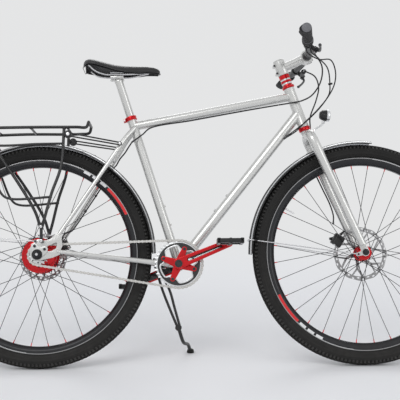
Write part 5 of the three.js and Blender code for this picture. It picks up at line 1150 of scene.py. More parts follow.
def tread():
    """All blocks of one pitch of tread, two of each row and hand, repeated around the wheel."""
    pitch = FULL / TREAD_PITCHES
    blocks = []
    for angle, wide, long_by, first in BLOCK_ROWS:
        for hand in ((1, -1) if angle else (1,)):
            for half in (0, 0.5):
                height = 2.2 if angle == 60 else 3.0
                blocks.append(block_of_tread(angle * hand, (first + half) * pitch, wide, long_by, height))
    return ringed(joined(blocks), TREAD_PITCHES)


def tyre_piece():
    casing = turned(casing_profile(), *ACROSS, tyre_rubber, 144, closed=True)
    return joined(casing, tread())


# %% Rim with its stripes and valve
def rim_piece():
    half = [(317.4, 11.7), (317.9, 12.3), (317.9, 13.6), (317.3, 14), (315, 14), (314.2, 14), (309.6, 14),
        (308.8, 14), (306.3, 13.95), (304.4, 13.3), (296.6, 6.9), (295.3, 5.2)]
    profile = half + [(r, -y) for r, y in reversed(half)] + [(312, -11.7), (300, -3), (300, 3), (312, 11.7)]
    piece = turned(profile, *ACROSS, rim_black, 240, closed=True)
    bake_place(piece)
    for material in (stripe_white, stripe_red, disc_steel):
        piece.data.materials.append(material)
    for face in piece.data.polygons:
        x, y, z = face.center
        radius, angle = hypot(x, z), degrees(atan2(z, x)) % 180
        # Faces on the outer lip take disc_steel: a grey ring that paints the highlight where the lip catches
        # the light.
        if abs(y) > 13.7 and radius > 315.2:
            face.material_index = 3
        if abs(y) > 13.9 and 306.3 < radius < 315 and 26 < angle < 82:
            wide = radius < 314.1
            if angle < 45:
                face.material_index = 2
            elif not wide or (angle < 64 and (angle - 45) % 6 > 2):
                face.material_index = 1
    toward = along(149)
    valve = turned([(0, 0), (3, 0), (3, 14), (2.4, 15), (2.4, 30), (1.9, 31), (1.9, 36), (0, 36)],
        toward * 296, toward * 200, bright_steel, 16)
    nut = pin(toward * 295.2, toward * 292.6, 5.2, bright_steel, 6, 0.3)
    return joined(piece, valve, nut)


# %% Spokes and nipples
SPOKES = 32


def spokes_piece(flange_radius, flange_out, cross):
    """Four spokes with their nipples, repeated eight times, and the band under them in the rim."""
    made = []
    for i in range(4):
        hand = LEFT if i % 2 else RIGHT
        forwards = 1 if (i // 2) % 2 else -1
        angle = radians(360 * (i + 0.5) / SPOKES)
        root_angle = angle + radians(forwards * cross)
        layer = forwards * 2.4
        root = circled(ORIGIN, flange_radius, root_angle, hand * flange_out + layer)
        tip = circled(ORIGIN, 291.4, angle, hand * 2 + layer * 0.5)
        run = (tip - root).normalized()
        elbow = root + Vector((0, -1.6 * forwards, 0))
        path = [elbow, root + run * 0.6, root + run * 2.2, tip - run * 14, tip]
        made.append(tube(path, 1.0, spoke_black, 8))
        nipple = [(0, 0), (1.2, 0), (1.5, 0.8), (1.5, 8), (2, 9), (2, 10.6), (0, 10.6)]
        made.append(turned(nipple, tip - run * 9, tip, red_anodised, 10))
        head = Vector((0, forwards, 0))
        made.append(pin(elbow + head * 0.2, elbow - head * 1.4, 1.9, spoke_black, 10, 0.4))
    ring = ringed(joined(made), SPOKES // 4)
    band = turned([(292.8, -5.6), (295.1, -5.6), (295.1, 5.6), (292.8, 5.6)], *ACROSS, rim_black,
        160, closed=True)
    return joined(ring, band)


# %% Brake disc
DISC_THICK, DISC_ARMS = 1.9, 6


def disc_piece(radius, y, hub_radius):
    """A wavy track with two rows of slots, on arms that fork between it and the hub."""
    wave = []
    for k in range(144):
        a = FULL * k / 144
        wave.append(on_circle(radius - 1.3 + 1.1 * cos(a * 12), a))
    inner = radius - 15
    track = [wave, disc_outline(0, 0, inner, 96)]
    for k in range(30):
        a = FULL * k / 30
        reach = radius - (5.6 if k % 2 else 9.8)
        track.append(slot_outline(on_circle(reach, a - 0.022), 2.3, on_circle(reach, a + 0.022), 2.3, 6))
    made = [plate(track, y - DISC_THICK / 2, y + DISC_THICK / 2, disc_steel, 0.2, 1)]
    near, far = y - DISC_THICK / 2 + 0.1, y + DISC_THICK / 2 - 0.1
    for k in range(DISC_ARMS):
        a = FULL * k / DISC_ARMS
        fork = on_circle((hub_radius + inner) / 2, a + 0.3)
        made.append(plate([slot_outline(on_circle(hub_radius - 3, a), 5.6, fork, 4, 6)], near, far,
            disc_steel, 0.2, 1))
        for wide, narrow, turn in ((3.8, 3.2, 0.62), (3.2, 2.6, 0.14)):
            arm = slot_outline(fork, wide, on_circle(inner + 1.6, a + turn), narrow, 6)
            made.append(plate([arm], near, far, disc_steel, 0.2, 1))
    return made


def pins_around(count, reach, inner, outer, radius, material, steps, edge, centre=ORIGIN):
    """Equal short pins around an axle, reach millimetres away from it."""
    angles = [FULL * k / count for k in range(count)]
    return [pin(circled(centre, reach, a, inner), circled(centre, reach, a, outer), radius, material, steps,
        edge) for a in angles]


def spoke_holes(reach, inner, outer):
    """Dark ends of the spoke holes in both flanges, half a step apart."""
    made = []
    for k in range(SPOKES // 2):
        for hand in HANDS:
            a = FULL * (k + (0.5 if hand == LEFT else 0)) / (SPOKES // 2)
            made.append(pin(circled(ORIGIN, reach, a, hand * inner), circled(ORIGIN, reach, a, hand * outer),
                1.5, dark_steel, 8, 0.1))
    return made


print("wheel helpers ready")

# %% Both wheels: tyre, rim and spokes
WHEEL_FRONT, WHEEL_REAR = Matrix.Translation(FRONT_AXLE), Matrix.Translation(REAR_AXLE)
for name, axle_place in (("front", WHEEL_FRONT), ("rear", WHEEL_REAR)):
    body = name + "_wheel_body"
    fit(moved(tyre_piece(), axle_place), name + "_tread_tyre", body, [name + "_tyre"],
        smooth=32)
    fit(moved(rim_piece(), axle_place), name + "_box_rim", body, [name + "_rim"], smooth=32)
fit(moved(spokes_piece(26.4, 26, 62), WHEEL_FRONT), "front_spoke_set", "front_wheel_body", ["front_spokes"])
fit(moved(spokes_piece(58.4, 30, 38), WHEEL_REAR), "rear_spoke_set", "rear_wheel_body", ["rear_spokes"])

# %% Front hub, axle and disc
hub_half = [(14.6, 0), (14.6, 14), (15.4, 18), (18, 21), (24.2, 22), (25, 23), (25, 29), (24.2, 30),
    (17, 30.6), (15.6, 32.5), (12.2, 34), (11.6, 46), (10.6, 49), (6.5, 49)]
hub_profile = [(r, -d) for r, d in reversed(hub_half)][:-1] + hub_half
hub_shell = turned(hub_profile, *ACROSS, red_anodised, 64, closed=True)
seal_rings = [sleeve(*across(ORIGIN, 49.05, 46.4, hand), 10.9, 6.4, moulded_black, 40, 0.4) for hand in HANDS]
fit(moved(joined(hub_shell, spoke_holes(22.2, 29.6, 30.2), seal_rings), WHEEL_FRONT), "front_hub_shell",
    "front_wheel_body", ["front_hub"])
front_disc = disc_piece(90, 35, 24)
carrier = [sleeve(*across(ORIGIN, 33.6, 37.6), 24, 12.6, black_alloy, 48, 0.5),
    sleeve(*across(ORIGIN, 37.4, 41.5), 17.5, 12.6, black_alloy, 48, 0.8)]
disc_rivets = pins_around(6, 26.5, 33.4, 36.8, 3.2, bright_steel, 16, 0.5)
fit(moved(joined(front_disc, carrier, disc_rivets), WHEEL_FRONT), "front_disc", "front_wheel_body",
    ["front_rotor"])
nut = [(0, -69.4), (5.6, -69.4), (6.6, -68.6), (7, -66), (9.6, -64.4), (10.4, -62.6), (10.4, -56.6),
    (10, -56.3), (4.6, -56.3)]
axle_profile = nut + [(4.6, 56.3), (10, 56.3), (10.4, 56.8), (10.4, 62.2), (9.4, 64), (7, 65.4), (6.4, 68.2),
    (5.4, 69), (0, 69)]
fit(moved(turned(axle_profile, *ACROSS, black_alloy, 48), WHEEL_FRONT), "front_axle_pin",
    "steering_body", ["front_axle"])

# %% Rear hub, axle and disc
rear_profile = [(11, -43.6), (16, -43.6), (20, -42.4), (31, -41.4), (40, -39), (47.5, -36.2), (50, -34.8),
    (50.4, -34), (56.2, -33.8), (57, -33), (57, -27), (56.2, -26), (50.6, -25.6), (49.6, -24), (48.4, -22),
    (48.4, 22), (49.6, 24), (50.6, 25.6), (56.2, 26), (57, 27), (57, 33), (56.2, 33.8), (50.4, 34),
    (49.4, 36), (40, 42), (28, 45), (22, 46.4), (20.6, 50.2), (11, 50.2)]
rear_shell = turned(rear_profile, *ACROSS, red_anodised, 80, closed=True)
rear_holes = spoke_holes(54, 33.4, 34)
cover_bolts = pins_around(8, 38, -39.4, -41, 2.2, dark_steel, 12, 0.3)
fit(moved(joined(rear_shell, rear_holes, cover_bolts), WHEEL_REAR), "rear_hub_shell", "rear_wheel_body",
    ["rear_hub"])
rear_disc = disc_piece(80, 52, 22)
rear_carrier = sleeve(*across(ORIGIN, 51.2, 53.2), 22, 13, black_alloy, 48, 0.3)
rear_rivets = pins_around(6, 19, 51, 53.4, 2.4, bright_steel, 12, 0.3)
fit(moved(joined(rear_disc, rear_carrier, rear_rivets), WHEEL_REAR), "rear_disc", "rear_wheel_body",
    ["rear_rotor"])
slide_outline = [(-19.6, 397), (-18.6, 376.5), (-17, 364), (-14, 355.6), (-7, 350.6), (0, 349.4), (7, 351.4),
    (14, 356.6), (24, 364), (32.6, 372.4), (34.6, 383.4), (30, 388.4), (24, 390.6), (14, 389.4), (6, 388.8),
    (0, 395), (-6, 401.6), (-13, 400.4)]
slides = []
for hand in HANDS:
    slides.append(plate([slide_outline, disc_outline(*flat(REAR_AXLE), 5.4, 20)], hand * 73.9, hand * 77.7,
        silver_paint, 0.6, 2))
    for x, z in ((-8, 391), (24, 381)):
        slides.append(pin((x, hand * 76, z), (x, hand * 78.2, z), 5.6, polished_alloy, 24, 0.4))
        slides.append(socket_bolt((x, hand * 77.8, z), (0, hand, 0), 4.6, 2.9))
    nut = [(4.8, 78.4), (10.8, 78.4), (11, 79), (11, 84), (9.6, 86), (6.6, 88), (6, 89.4), (4.8, 89.6)]
    sides = 6 if hand == LEFT else 40
    slides += [sleeve(*across(REAR_AXLE, 77.6, 79, hand), 17, 5.4, moulded_black, 40, 0.5),
        turned(nut, REAR_AXLE, at_side(REAR_AXLE, hand), black_alloy, sides, closed=True),
        pin(*across(REAR_AXLE, 60, 89.2, hand), 4.8, bright_steel, 24, 0.8)]
slides.append(pin(*across(REAR_AXLE, -60, 60), 4.6, bright_steel, 24, 0.8))
fit(joined(slides), "rear_axle_and_slides", "frame_body", ["rear_axle"])

# %% Shift box
box_parts = [pin(*across(REAR_AXLE, 53.9, 66.8), 18.6, moulded_black, 56, 1.6),
    block((-13.6, 54, 321), (13.6, 66.8, 356), moulded_black, 3, 3),
    socket_bolt((0, 66.6, 330), (0, 1, 0), 2.6, 1)]
box_parts += [pin((x, 60, 322), (x, 60, 317), 3, moulded_black, 16, 0.5) for x in (-6, 6)]
fit(joined(box_parts), "shift_box_case", "frame_body", ["shift_box"])

# %% [markdown]
# ## Chainring, sprocket and chain
# Both toothed discs come from the chain's pitch of half an inch. One outline gives every tooth a rounded
# root, two flanks and a narrow tip. The chain is two kinds of link, each modelled once, and each copy is
# laid between two pins on the line that the chain follows around both discs.

# %% Teeth
PITCH = 12.7
TEETH_RING, TEETH_SPROCKET = 38, 16
CHAINLINE = -52
PITCH_RING = PITCH / 2 / sin(pi / TEETH_RING)
PITCH_SPROCKET = PITCH / 2 / sin(pi / TEETH_SPROCKET)
TOOTH = ((0, -3.9), (0.14, -3.5), (0.26, -1.9), (0.36, 0.6), (0.44, 2.5), (0.5, 2.9), (0.56, 2.5),
    (0.64, 0.6), (0.74, -1.9), (0.86, -3.5))


def toothed(centre, teeth, pitch_radius):
    """The outline of a toothed disc, one step of TOOTH after another."""
    return [on_circle(pitch_radius + lift, FULL * (k + share) / teeth, centre.x, centre.z)
        for k in range(teeth) for share, lift in TOOTH]


SPIDER = (69, 160, 247.5, 341.6)


def window_line(grow):
    """The inner edge of the chainring: in at its four tabs, out between them."""
    low, high = 46, 58
    outline = []
    for k in range(120):
        a = k * 3
        away = min(abs((a - tab + 180) % 360 - 180) for tab in SPIDER)
        share = min(max((away - 11) / 15, 0), 1)
        r = low + (high - low) * share * share * (3 - 2 * share) + grow
        outline.append(on_circle(r, radians(a), *flat(BRACKET)))
    return outline


ring_base = plate([toothed(BRACKET, TEETH_RING, PITCH_RING), window_line(0)], CHAINLINE - 1, CHAINLINE + 1,
    polished_alloy, 0.3, 1)
ring_trim = plate([window_line(4.4), window_line(0.05)], CHAINLINE - 1.2, CHAINLINE + 1.2, polished_alloy,
    0.25, 1)
ring_face = plate([disc_outline(*flat(BRACKET), 69, 96), window_line(4.7)], CHAINLINE - 1.15,
    CHAINLINE + 1.15, gloss_black, 0.25, 1)
fit(joined(ring_base, ring_trim, ring_face), "chainring_disc", "crank_body", ["chainring"])
cog_outlines = [toothed(REAR_AXLE, TEETH_SPROCKET, PITCH_SPROCKET), disc_outline(*flat(REAR_AXLE), 15, 40)]
cog = plate(cog_outlines, CHAINLINE - 1, CHAINLINE + 1, polished_alloy, 0.3, 1)
cog_holes = pins_around(8, 24.5, -53.05, -52.5, 2.6, dark_steel, 16, 0.1, REAR_AXLE)
lock_profile = [(12.2, 44.6), (18.3, 44.6), (18.3, 55.6), (17.4, 57), (15.6, 57), (15, 55.8), (12.2, 55.8)]
lock_ring = turned(lock_profile, REAR_AXLE, at_side(REAR_AXLE, -1), black_alloy, 48, closed=True)
fit(joined(cog, cog_holes, lock_ring), "sprocket_disc", "sprocket_body", ["sprocket"])

# %% Chain line
gap_x, gap_z = REAR_AXLE.x - BRACKET.x, REAR_AXLE.z - BRACKET.z
heading = atan2(gap_z, gap_x)
span = hypot(gap_x, gap_z)
lift = acos((PITCH_RING - PITCH_SPROCKET) / span)
straight = sqrt(span ** 2 - (PITCH_RING - PITCH_SPROCKET) ** 2)
wrap_ring, wrap_cog = PITCH_RING * (FULL - 2 * lift), PITCH_SPROCKET * 2 * lift
whole = wrap_ring + straight + wrap_cog + straight


def on_chain(s):
    """A place on the chain's line, s millimetres along it, and whether it lies on a straight run."""
    s %= whole
    ring_in, cog_in = heading + lift, heading - lift
    if s < wrap_ring:
        return circled(BRACKET, PITCH_RING, ring_in + s / PITCH_RING), False
    s -= wrap_ring
    if s < straight:
        leave = circled(BRACKET, PITCH_RING, ring_in - 2 * lift)
        return leave.lerp(circled(REAR_AXLE, PITCH_SPROCKET, cog_in), s / straight), True
    s -= straight
    if s < wrap_cog:
        return circled(REAR_AXLE, PITCH_SPROCKET, cog_in + s / PITCH_SPROCKET), False
    s -= wrap_cog
    start = circled(REAR_AXLE, PITCH_SPROCKET, ring_in)
    return start.lerp(circled(BRACKET, PITCH_RING, ring_in), s / straight), True


links = int(whole / PITCH / 2 + 0.5) * 2
print("chain:", round(whole), "mm,", links, "links")


# %% Links
def link_outline():
    upper = [(-9.6, 2.4), (-8.4, 3.7), (-6.35, 4.3), (-4.2, 3.8), (-2, 3.1), (2, 3.1), (4.2, 3.8),
        (6.35, 4.3), (8.4, 3.7), (9.6, 2.4), (10.2, 0)]
    return upper + [(x, -z) for x, z in reversed(upper[:-1])] + [(-10.2, 0)]


def link(out, thick):
    """The two side plates of one link."""
    return joined([plate([link_outline()], hand * out, hand * (out + thick), chain_steel, 0.2, 0)
        for hand in (1, -1)])


def copies(piece, places):
    """One copy of the piece for each place, each with its own mesh, joined into one."""
    bake_place(piece)
    made = []
    for place in places:
        twin = piece.copy()
        twin.data = piece.data.copy()
        bpy.context.collection.objects.link(twin)
        twin.matrix_world = place
        made.append(twin)
    bpy.data.objects.remove(piece)
    return joined(made)


outer_link, inner_link = link(3.05, 0.9), link(2.1, 0.85)
roller = pin((0, -2.05, 0), (0, 2.05, 0), 3.9, chain_steel, 12, 0.2)
rivet = joined([pin((0, side * 3.6, 0), (0, side * 4.0, 0), 1.8, bright_steel, 8, 0.15) for side in (1, -1)])
pins_at = [on_chain(k * whole / links) for k in range(links)]
outer_places, inner_places, roller_places, rivet_places = [], [], [], []
for k in range(links):
    (a, on_straight), b = pins_at[k], pins_at[(k + 1) % links][0]
    run = (b - a).normalized()
    turn = Matrix.Rotation(-atan2(run.z, run.x), 4, "Y")
    middle = Matrix.Translation((a + b) / 2 + Vector((0, CHAINLINE, 0)))
    at_pin = Matrix.Translation(a + Vector((0, CHAINLINE, 0)))
    (outer_places if k % 2 else inner_places).append(middle @ turn)
    rivet_places.append(at_pin)
    if on_straight:
        roller_places.append(at_pin)
chain_piece = joined(copies(outer_link, outer_places), copies(inner_link, inner_places),
    copies(roller, roller_places), copies(rivet, rivet_places))
fit(chain_piece, "roller_chain", "frame_body", ["chain"])

# %% [markdown]
# ## Cranks
# The arms are forged with a channel along their outer face. Each arm is two plates: a full one behind, and
# one with a slot in front, so that the channel has a floor, where a bright strip is laid. The right arm
# carries a four-armed spider and the chainring's bolts.

# %% Crank arms
def crank_end(hand):
    return Vector((614.3, 0, 396.6)) if hand == RIGHT else Vector((289.7, 0, 265.4))


def crank_arm(hand):
    """One arm with its channel, strip, cap and pedal axle."""
    end, axis = crank_end(hand), flat(BRACKET)
    reach = (end.x - axis[0], end.z - axis[1])
    size = hypot(*reach)

    def along_arm(share, aside=0.0):
        x = axis[0] + reach[0] * share + reach[1] / size * aside
        return (x, axis[1] + reach[1] * share - reach[0] / size * aside)

    def slab(outlines, near, far, material, edge, steps=1):
        return plate(outlines, hand * near, hand * far, material, edge, steps)

    def on_end(maker, near, far, *rest):
        return maker(*across(end, near, far, hand), *rest)
    outline = slot_outline(axis, 17, flat(end), 13, 20)
    channel = slot_outline(along_arm(0.2), 5.4, along_arm(0.84), 4, 12)
    floor_outline = slot_outline(along_arm(0.2), 5, along_arm(0.84), 3.6, 12)
    strip_outline = slot_outline(along_arm(0.3, 2.6), 1.3, along_arm(0.8, 1.8), 1, 8)
    root_outline = slot_outline(along_arm(0.205, 1), 3.2, along_arm(0.25, 1.6), 2.4, 8)
    # A gloss black plate on the inner face of each arm is painted shade, for the far arm's inner side in
    # shadow.
    shade_backing_outline = slot_outline(along_arm(0.16), 11.5, along_arm(0.96), 8.6, 12)
    cap = [(12.8, 80), (12.8, 83.2), (12.2, 83.8), (8.8, 84), (8, 83), (0, 83)]
    return [slab([outline], 68, 76.4, red_anodised, 1.6, 3),
        slab([outline, channel], 76, 82, red_anodised, 1.5, 3),
        slab([floor_outline], 76.2, 76.9, gloss_black, 0.2),
        slab([strip_outline], 76.5, 78.6, polished_alloy, 0.3),
        slab([root_outline], 76.5, 78.2, polished_alloy, 0.3),
        slab([shade_backing_outline], 67.7, 68.6, gloss_black, 0.3),
        sleeve(*across(BRACKET, 80, 83.6, hand), 15.4, 12.6, red_anodised, 48, 0.8),
        turned(cap, BRACKET, at_side(BRACKET, hand), gloss_black, 48),
        on_end(pin, 75, 87.8, 6.8, bright_steel, 32, 0.6),
        on_end(pin, 87, 173.6, 4.4, bright_steel, 24, 0.6),
        on_end(pin, 81.6, 82.6, 9.4, polished_alloy, 40, 0.4),
        on_end(sleeve, 83.4, 87, 8.2, 6.6, dark_steel, 6, 0.3)]


# %% Right crank with its spider
spider = []
for tab in SPIDER:
    x, z = on_circle(52, radians(tab), *flat(BRACKET))
    spider += [plate([slot_outline(flat(BRACKET), 15, (x, z), 8, 12)], -53.4, -58.2, red_anodised, 1.2, 3),
        pin((x, -50.2, z), (x, -58.8, z), 4.4, dark_steel, 24, 0.4),
        socket_bolt((x, -58.1, z), (0, -1, 0), 5, 1.7),
        pin((x, -50.3, z), (x, -49.9, z), 6, dark_steel, 24, 0.2)]
core_ring = sleeve(*across(BRACKET, 44.2, 69, RIGHT), 16, 9.6, red_anodised, 56, 0.8)
fit(joined(crank_arm(RIGHT), spider, core_ring), "right_crank_arm", "crank_body", ["right_crank"])

# %% Left crank with the spindle
spindle = [pin(*across(BRACKET, -81.4, 82), 8.9, dark_steel, 48, 0.6),
    sleeve(*across(BRACKET, 37, 69), 13, 8.8, red_anodised, 56, 0.8)]
fit(joined(crank_arm(LEFT), spindle), "left_crank_arm", "crank_body", ["left_crank"])

# %% [markdown]
# ## Pedals
# A moulded cage around a sleeve, with rough light grey pads on top and underneath for the sole, whose grey is
# a painted highlight of the cage's top surface, and reflectors set in its front and rear edges.

# %% Pedals
# The pads' light grey is a painted highlight: it stands for light reflected by the cage's top surface.
painted_highlight_grey = finish("painted_highlight_grey", (0.28, 0.28, 0.29), (0.44, 0.44, 0.45), 0.0, (0.75, 0.9), grain=(1100, 1.0),
    bump=0.0005, dust=0.1)
amber = finish("amber_reflector", (0.70, 0.20, 0.01), (0.85, 0.30, 0.02), 0.0, (0.12, 0.2), bump=0.00003,
    coat=0.6)


def pedal_piece(hand):
    end = crank_end(hand)

    def bar(x0, x1, y0, y1, half, material, edge=1.2, lift=0.0):
        y0, y1 = sorted((hand * y0, hand * y1))
        return block((end.x + x0, y0, end.z + lift - half), (end.x + x1, y1, end.z + lift + half), material,
            edge, 2)
    made = [bar(-42, -30.4, 94.6, 179.6, 8.6, moulded_black, 2.2),
        bar(30.4, 42, 94.6, 179.6, 8.6, moulded_black, 2.2),
        bar(-41, 41, 94.6, 106, 7.0, moulded_black, 1.6),
        bar(-41, 41, 168.4, 179.6, 7.0, moulded_black, 1.6)]
    barrel = [(5, 88.6), (8, 88.6), (8.9, 90), (8.9, 120), (8, 124), (8, 160), (8.9, 164), (8.9, 176),
        (8, 178), (5, 178)]
    made.append(turned(barrel, end, at_side(end, hand), moulded_black, 40, closed=True))
    made.append(pin(*across(end, 174.2, 179.4, hand), 6.4, gloss_black, 32, 1))
    # Light grey pads above and below the cage: painted highlight.
    made += [bar(x0, x0 + 8.4, 98, 176, 0.55, painted_highlight_grey, 0.3, tier * 8.2) for x0 in (-40.4, 32)
        for tier in (1, -1)]
    made += [bar(-28, 28, y0, y0 + 8, 0.5, painted_highlight_grey, 0.25, tier * 6.7) for y0 in (96, 170)
        for tier in (1, -1)]
    made += [bar(x0, x1, 118, 156, 4.4, amber, 0.3) for x0, x1 in ((-42.0, -41.2), (41.2, 42.0))]
    return joined(made)


for hand, word in SIDES:
    fit(pedal_piece(hand), word + "_pedal_cage", word + "_pedal_body", [word + "_pedal"])

# %% [markdown]
# ## Brake calipers
# A caliper is two blocks bolted together over the disc. The wider half carries a round piston cap, bright
# lines cross both halves, two bolts hold them together, and the hose arrives at a fitting on one end.

# %% Calipers
def caliper_piece(axle, disc_radius, y, angle, inner, outer, banjo_side):
    def slab(x0, x1, y0, y1, z0, z1, edge=2.4, material=black_coat):
        return block((disc_radius + x0, y0, z0), (disc_radius + x1, y1, z1), material, edge, 3)
    made = [slab(-21.6, 8, y + 1.9, y + outer - 0.2, -18.6, 18.6, min(2.4, (outer - 2.1) * 0.4)),
        slab(-21.6, 8, y - inner + 0.2, y - 1.9, -18.6, 18.6, min(2.4, (inner - 2.1) * 0.4)),
        slab(5, 15.6, y - inner + 0.3, y + outer - 0.3, -18.4, 18.4, 2.6),
        slab(-3, 3, y - inner + 0.6, y + outer - 0.6, -19.4, -17.6, 0.5, polished_alloy),
        slab(-3, 3, y - inner + 0.6, y + outer - 0.6, 17.6, 19.4, 0.5, polished_alloy)]
    top, low = y + outer - 0.2, y - inner + 0.2
    cap_y, cap_way = (top, 1) if outer > inner else (low, -1)
    made.append(turned([(0, -1), (10.6, -1), (10.6, -0.1), (0, -0.1)], (disc_radius - 6, cap_y, 0),
        (disc_radius - 6, cap_y + cap_way, 0), polished_alloy, 40))
    for z in (-14.4, 14.4):
        made.append(socket_bolt((disc_radius + 10, cap_y - cap_way * 1.6, z), (0, cap_way, 0), 4.4, 1.6,
            bright_steel))
    for x in (-19.4, -16.6):
        made.append(slab(x, x + 1.2, y - inner + 1.5, y + outer - 1.5, -17.4, 17.4, 0.3, polished_alloy))
    banjo = Vector((disc_radius + 4, y + cap_way * 4, 0))
    made.append(pin(banjo + Vector((0, 0, banjo_side * 17.6)), banjo + Vector((0, 0, banjo_side * 18.9)), 3.4,
        bright_steel, 6, 0.2))
    return moved(joined(made), Matrix.Translation(axle) @ Matrix.Rotation(-radians(angle), 4, "Y"))


front_arm = tube(smooth_path([steer(82, -46, 46), steer(80.5, -30, 46), steer(81, -15, 46.2),
    steer(88, 12, 47.8)], 14), 4.8, black_coat, 24)
arm_bolts = [socket_bolt(steer(up, forward_by, 50), (0, 1, 0), 4, 2.6, bright_steel)
    for up, forward_by in ((82, -42), (81, -16))]
fit(joined(caliper_piece(FRONT_AXLE, 90, 35, 148, 7.4, 15, -1), front_arm, arm_bolts), "front_brake_caliper",
    "steering_body", ["front_caliper"])
rear_post = pin((62, 55, 378), (62, 63.7, 378), 4.4, black_coat, 24, 0.4)
fit(joined(caliper_piece(REAR_AXLE, 80, 52, 29, 15, 6.2, 1), rear_post), "rear_brake_caliper", "frame_body",
    ["rear_caliper"])

# %% [markdown]
# ## Mudguards
# A mudguard is a thin curved channel. A flat grid is rolled around the wheel, its cross-section dropped
# towards the edges, and Solidify gives it a wall. A bright line runs along each edge, which is a second
# material on the faces that lie there.

# %% Mudguards
guard_black = finish("guard_black", (0.005, 0.005, 0.0055), (0.010, 0.010, 0.011), 0.0, (0.42, 0.54),
    grain=(600, 0.6), bump=0.00004, dust=0.08, shine=0.3)
guard_line = finish("guard_line", (0.60, 0.61, 0.62), (0.72, 0.73, 0.74), 0.6, (0.25, 0.35), grain=(900, 0.5),
    bump=0.00003, dust=0.1)
SHARES = (-1, -0.975, -0.955, -0.81, -0.6, -0.3, 0, 0.3, 0.6, 0.81, 0.955, 0.975, 1)
GUARD_CROWN, WIRE = 376.9, 1.85


def rolled(axle, radius, angle, out):
    return circled(axle, radius, radians(angle), out)


def guard_piece(axle, start, end):
    """A strip around the wheel from one angle to another, with a bright line near each edge."""
    deselect()
    bpy.ops.mesh.primitive_grid_add(x_subdivisions=int((end - start) * 0.9), y_subdivisions=12, size=2)
    piece = bpy.context.object
    for v in piece.data.vertices:
        share = SHARES[round((v.co.y + 1) * 6)]
        radius = GUARD_CROWN - 13 * share ** 2 + (0.35 if abs(share) > 0.96 else 0)
        v.co = rolled(axle, radius, start + (end - start) * ((v.co.x + 1) / 2), 29.8 * share)
    piece.data.materials.append(guard_black)
    piece.data.materials.append(guard_line)
    for face in piece.data.polygons:
        if 17.4 < abs(face.center.y) < 24.4:
            face.material_index = 1
    clean_mesh()
    first = piece.data.polygons[0]
    faces_out = first.normal.dot(at_side(first.center - axle, 0)) > 0
    wall = piece.modifiers.new("wall", "SOLIDIFY")
    wall.thickness, wall.offset = 1.7, -1 if faces_out else 1
    apply_all(piece)
    clean_mesh()
    return piece


def guard_rivets(axle, angles):
    return [pin(rolled(axle, 376.2, angle, y), rolled(axle, 377.6, angle, y), 3, polished_alloy, 16, 0.5)
        for angle in angles for y in (-7, 7)]


fit(joined(guard_piece(FRONT_AXLE, 84, 180), guard_rivets(FRONT_AXLE, (118, 171))), "front_guard_shell",
    "steering_body", ["front_mudguard"])
fit(joined(guard_piece(REAR_AXLE, 1, 196), guard_rivets(REAR_AXLE, (5, 62, 166))), "rear_guard_shell",
    "frame_body", ["rear_mudguard"])


# %% Mudguard stays
OVER_GUARD = [(361, 32.3), (369, 32), (375.4, 31), (379.6, 25), (380.4, 14)]


def stay_piece(axle, angle, root_out, root_angle, root_radius):
    """Two wires from the eyes by the axle, joined by a loop over the guard."""
    made = []
    for hand in HANDS:
        root = rolled(axle, root_radius, root_angle, hand * root_out)
        tip = rolled(axle, 361, angle, hand * 32.3)
        toward, out = (tip - root).normalized(), Vector((0, hand, 0))
        made += [tube([root, root.lerp(tip, 0.5), tip], WIRE, bright_steel, 12),
            pin(root - out * 1.6, root + out * 1.4, 5, bright_steel, 24, 0.4),
            socket_bolt(root + out * 1.3, out, 3.6, 2.2),
            pin(tip - toward * 11, tip + toward * 1, 3, moulded_black, 16, 0.8)]
    loop = [rolled(axle, radius, angle, -wide) for radius, wide in OVER_GUARD]
    loop += [rolled(axle, radius, angle, wide) for radius, wide in reversed(OVER_GUARD)]
    made.append(tube(smooth_path(loop, 40), WIRE, bright_steel, 12))
    return joined(made)


eye_run = Vector((-26, 0, -7))
fit(stay_piece(FRONT_AXLE, 173, 67.2, degrees(atan2(eye_run.z, eye_run.x)), eye_run.length),
    "front_stay_wires", "steering_body", ["front_mudguard_stays"])
fit(stay_piece(REAR_AXLE, 168, 76.1, 98, 43.5), "rear_stay_wires", "frame_body", ["rear_mudguard_stays"])

# %% [markdown]
# ## Headlight
# A turned shell with cooling rings, a mirror bowl inside, and a lens of clear plastic with a shallow dome.
# The lens keeps a plain transmission so that it stays clear under other light.

# %% Headlight
lens_clear = bpy.data.materials.new("lens_clear")
lens_clear.use_nodes = True
glass = lens_clear.node_tree
lens_shader = glass.nodes["Principled BSDF"]
set_sockets(lens_shader, {"Base Color": (0.94, 0.96, 0.98, 1), "Transmission Weight": 1, "IOR": 1.49})
lens_ribs = add_node(glass, "TexWave", {"Scale": 160}, bands_direction="Z")
lens_place = add_node(glass, "TexCoord")
lens_bump = add_node(glass, "Bump", {"Distance": 0.0002})
lens_gloss = add_node(glass, "MapRange", {"To Min": 0.02, "To Max": 0.08})
wire(glass, (lens_place, "Object", lens_ribs, "Vector"), (lens_ribs, "Fac", lens_bump, "Height"))
wire(glass, (lens_bump, "Normal", lens_shader, "Normal"), (lens_ribs, "Fac", lens_gloss, "Value"))
wire(glass, (lens_gloss, 0, lens_shader, "Roughness"))
LAMP = Vector((945, 0, 829))
lamp_run = along(-4)


def on_lamp(profile, material):
    return turned(profile, LAMP, LAMP + lamp_run, material, 56)


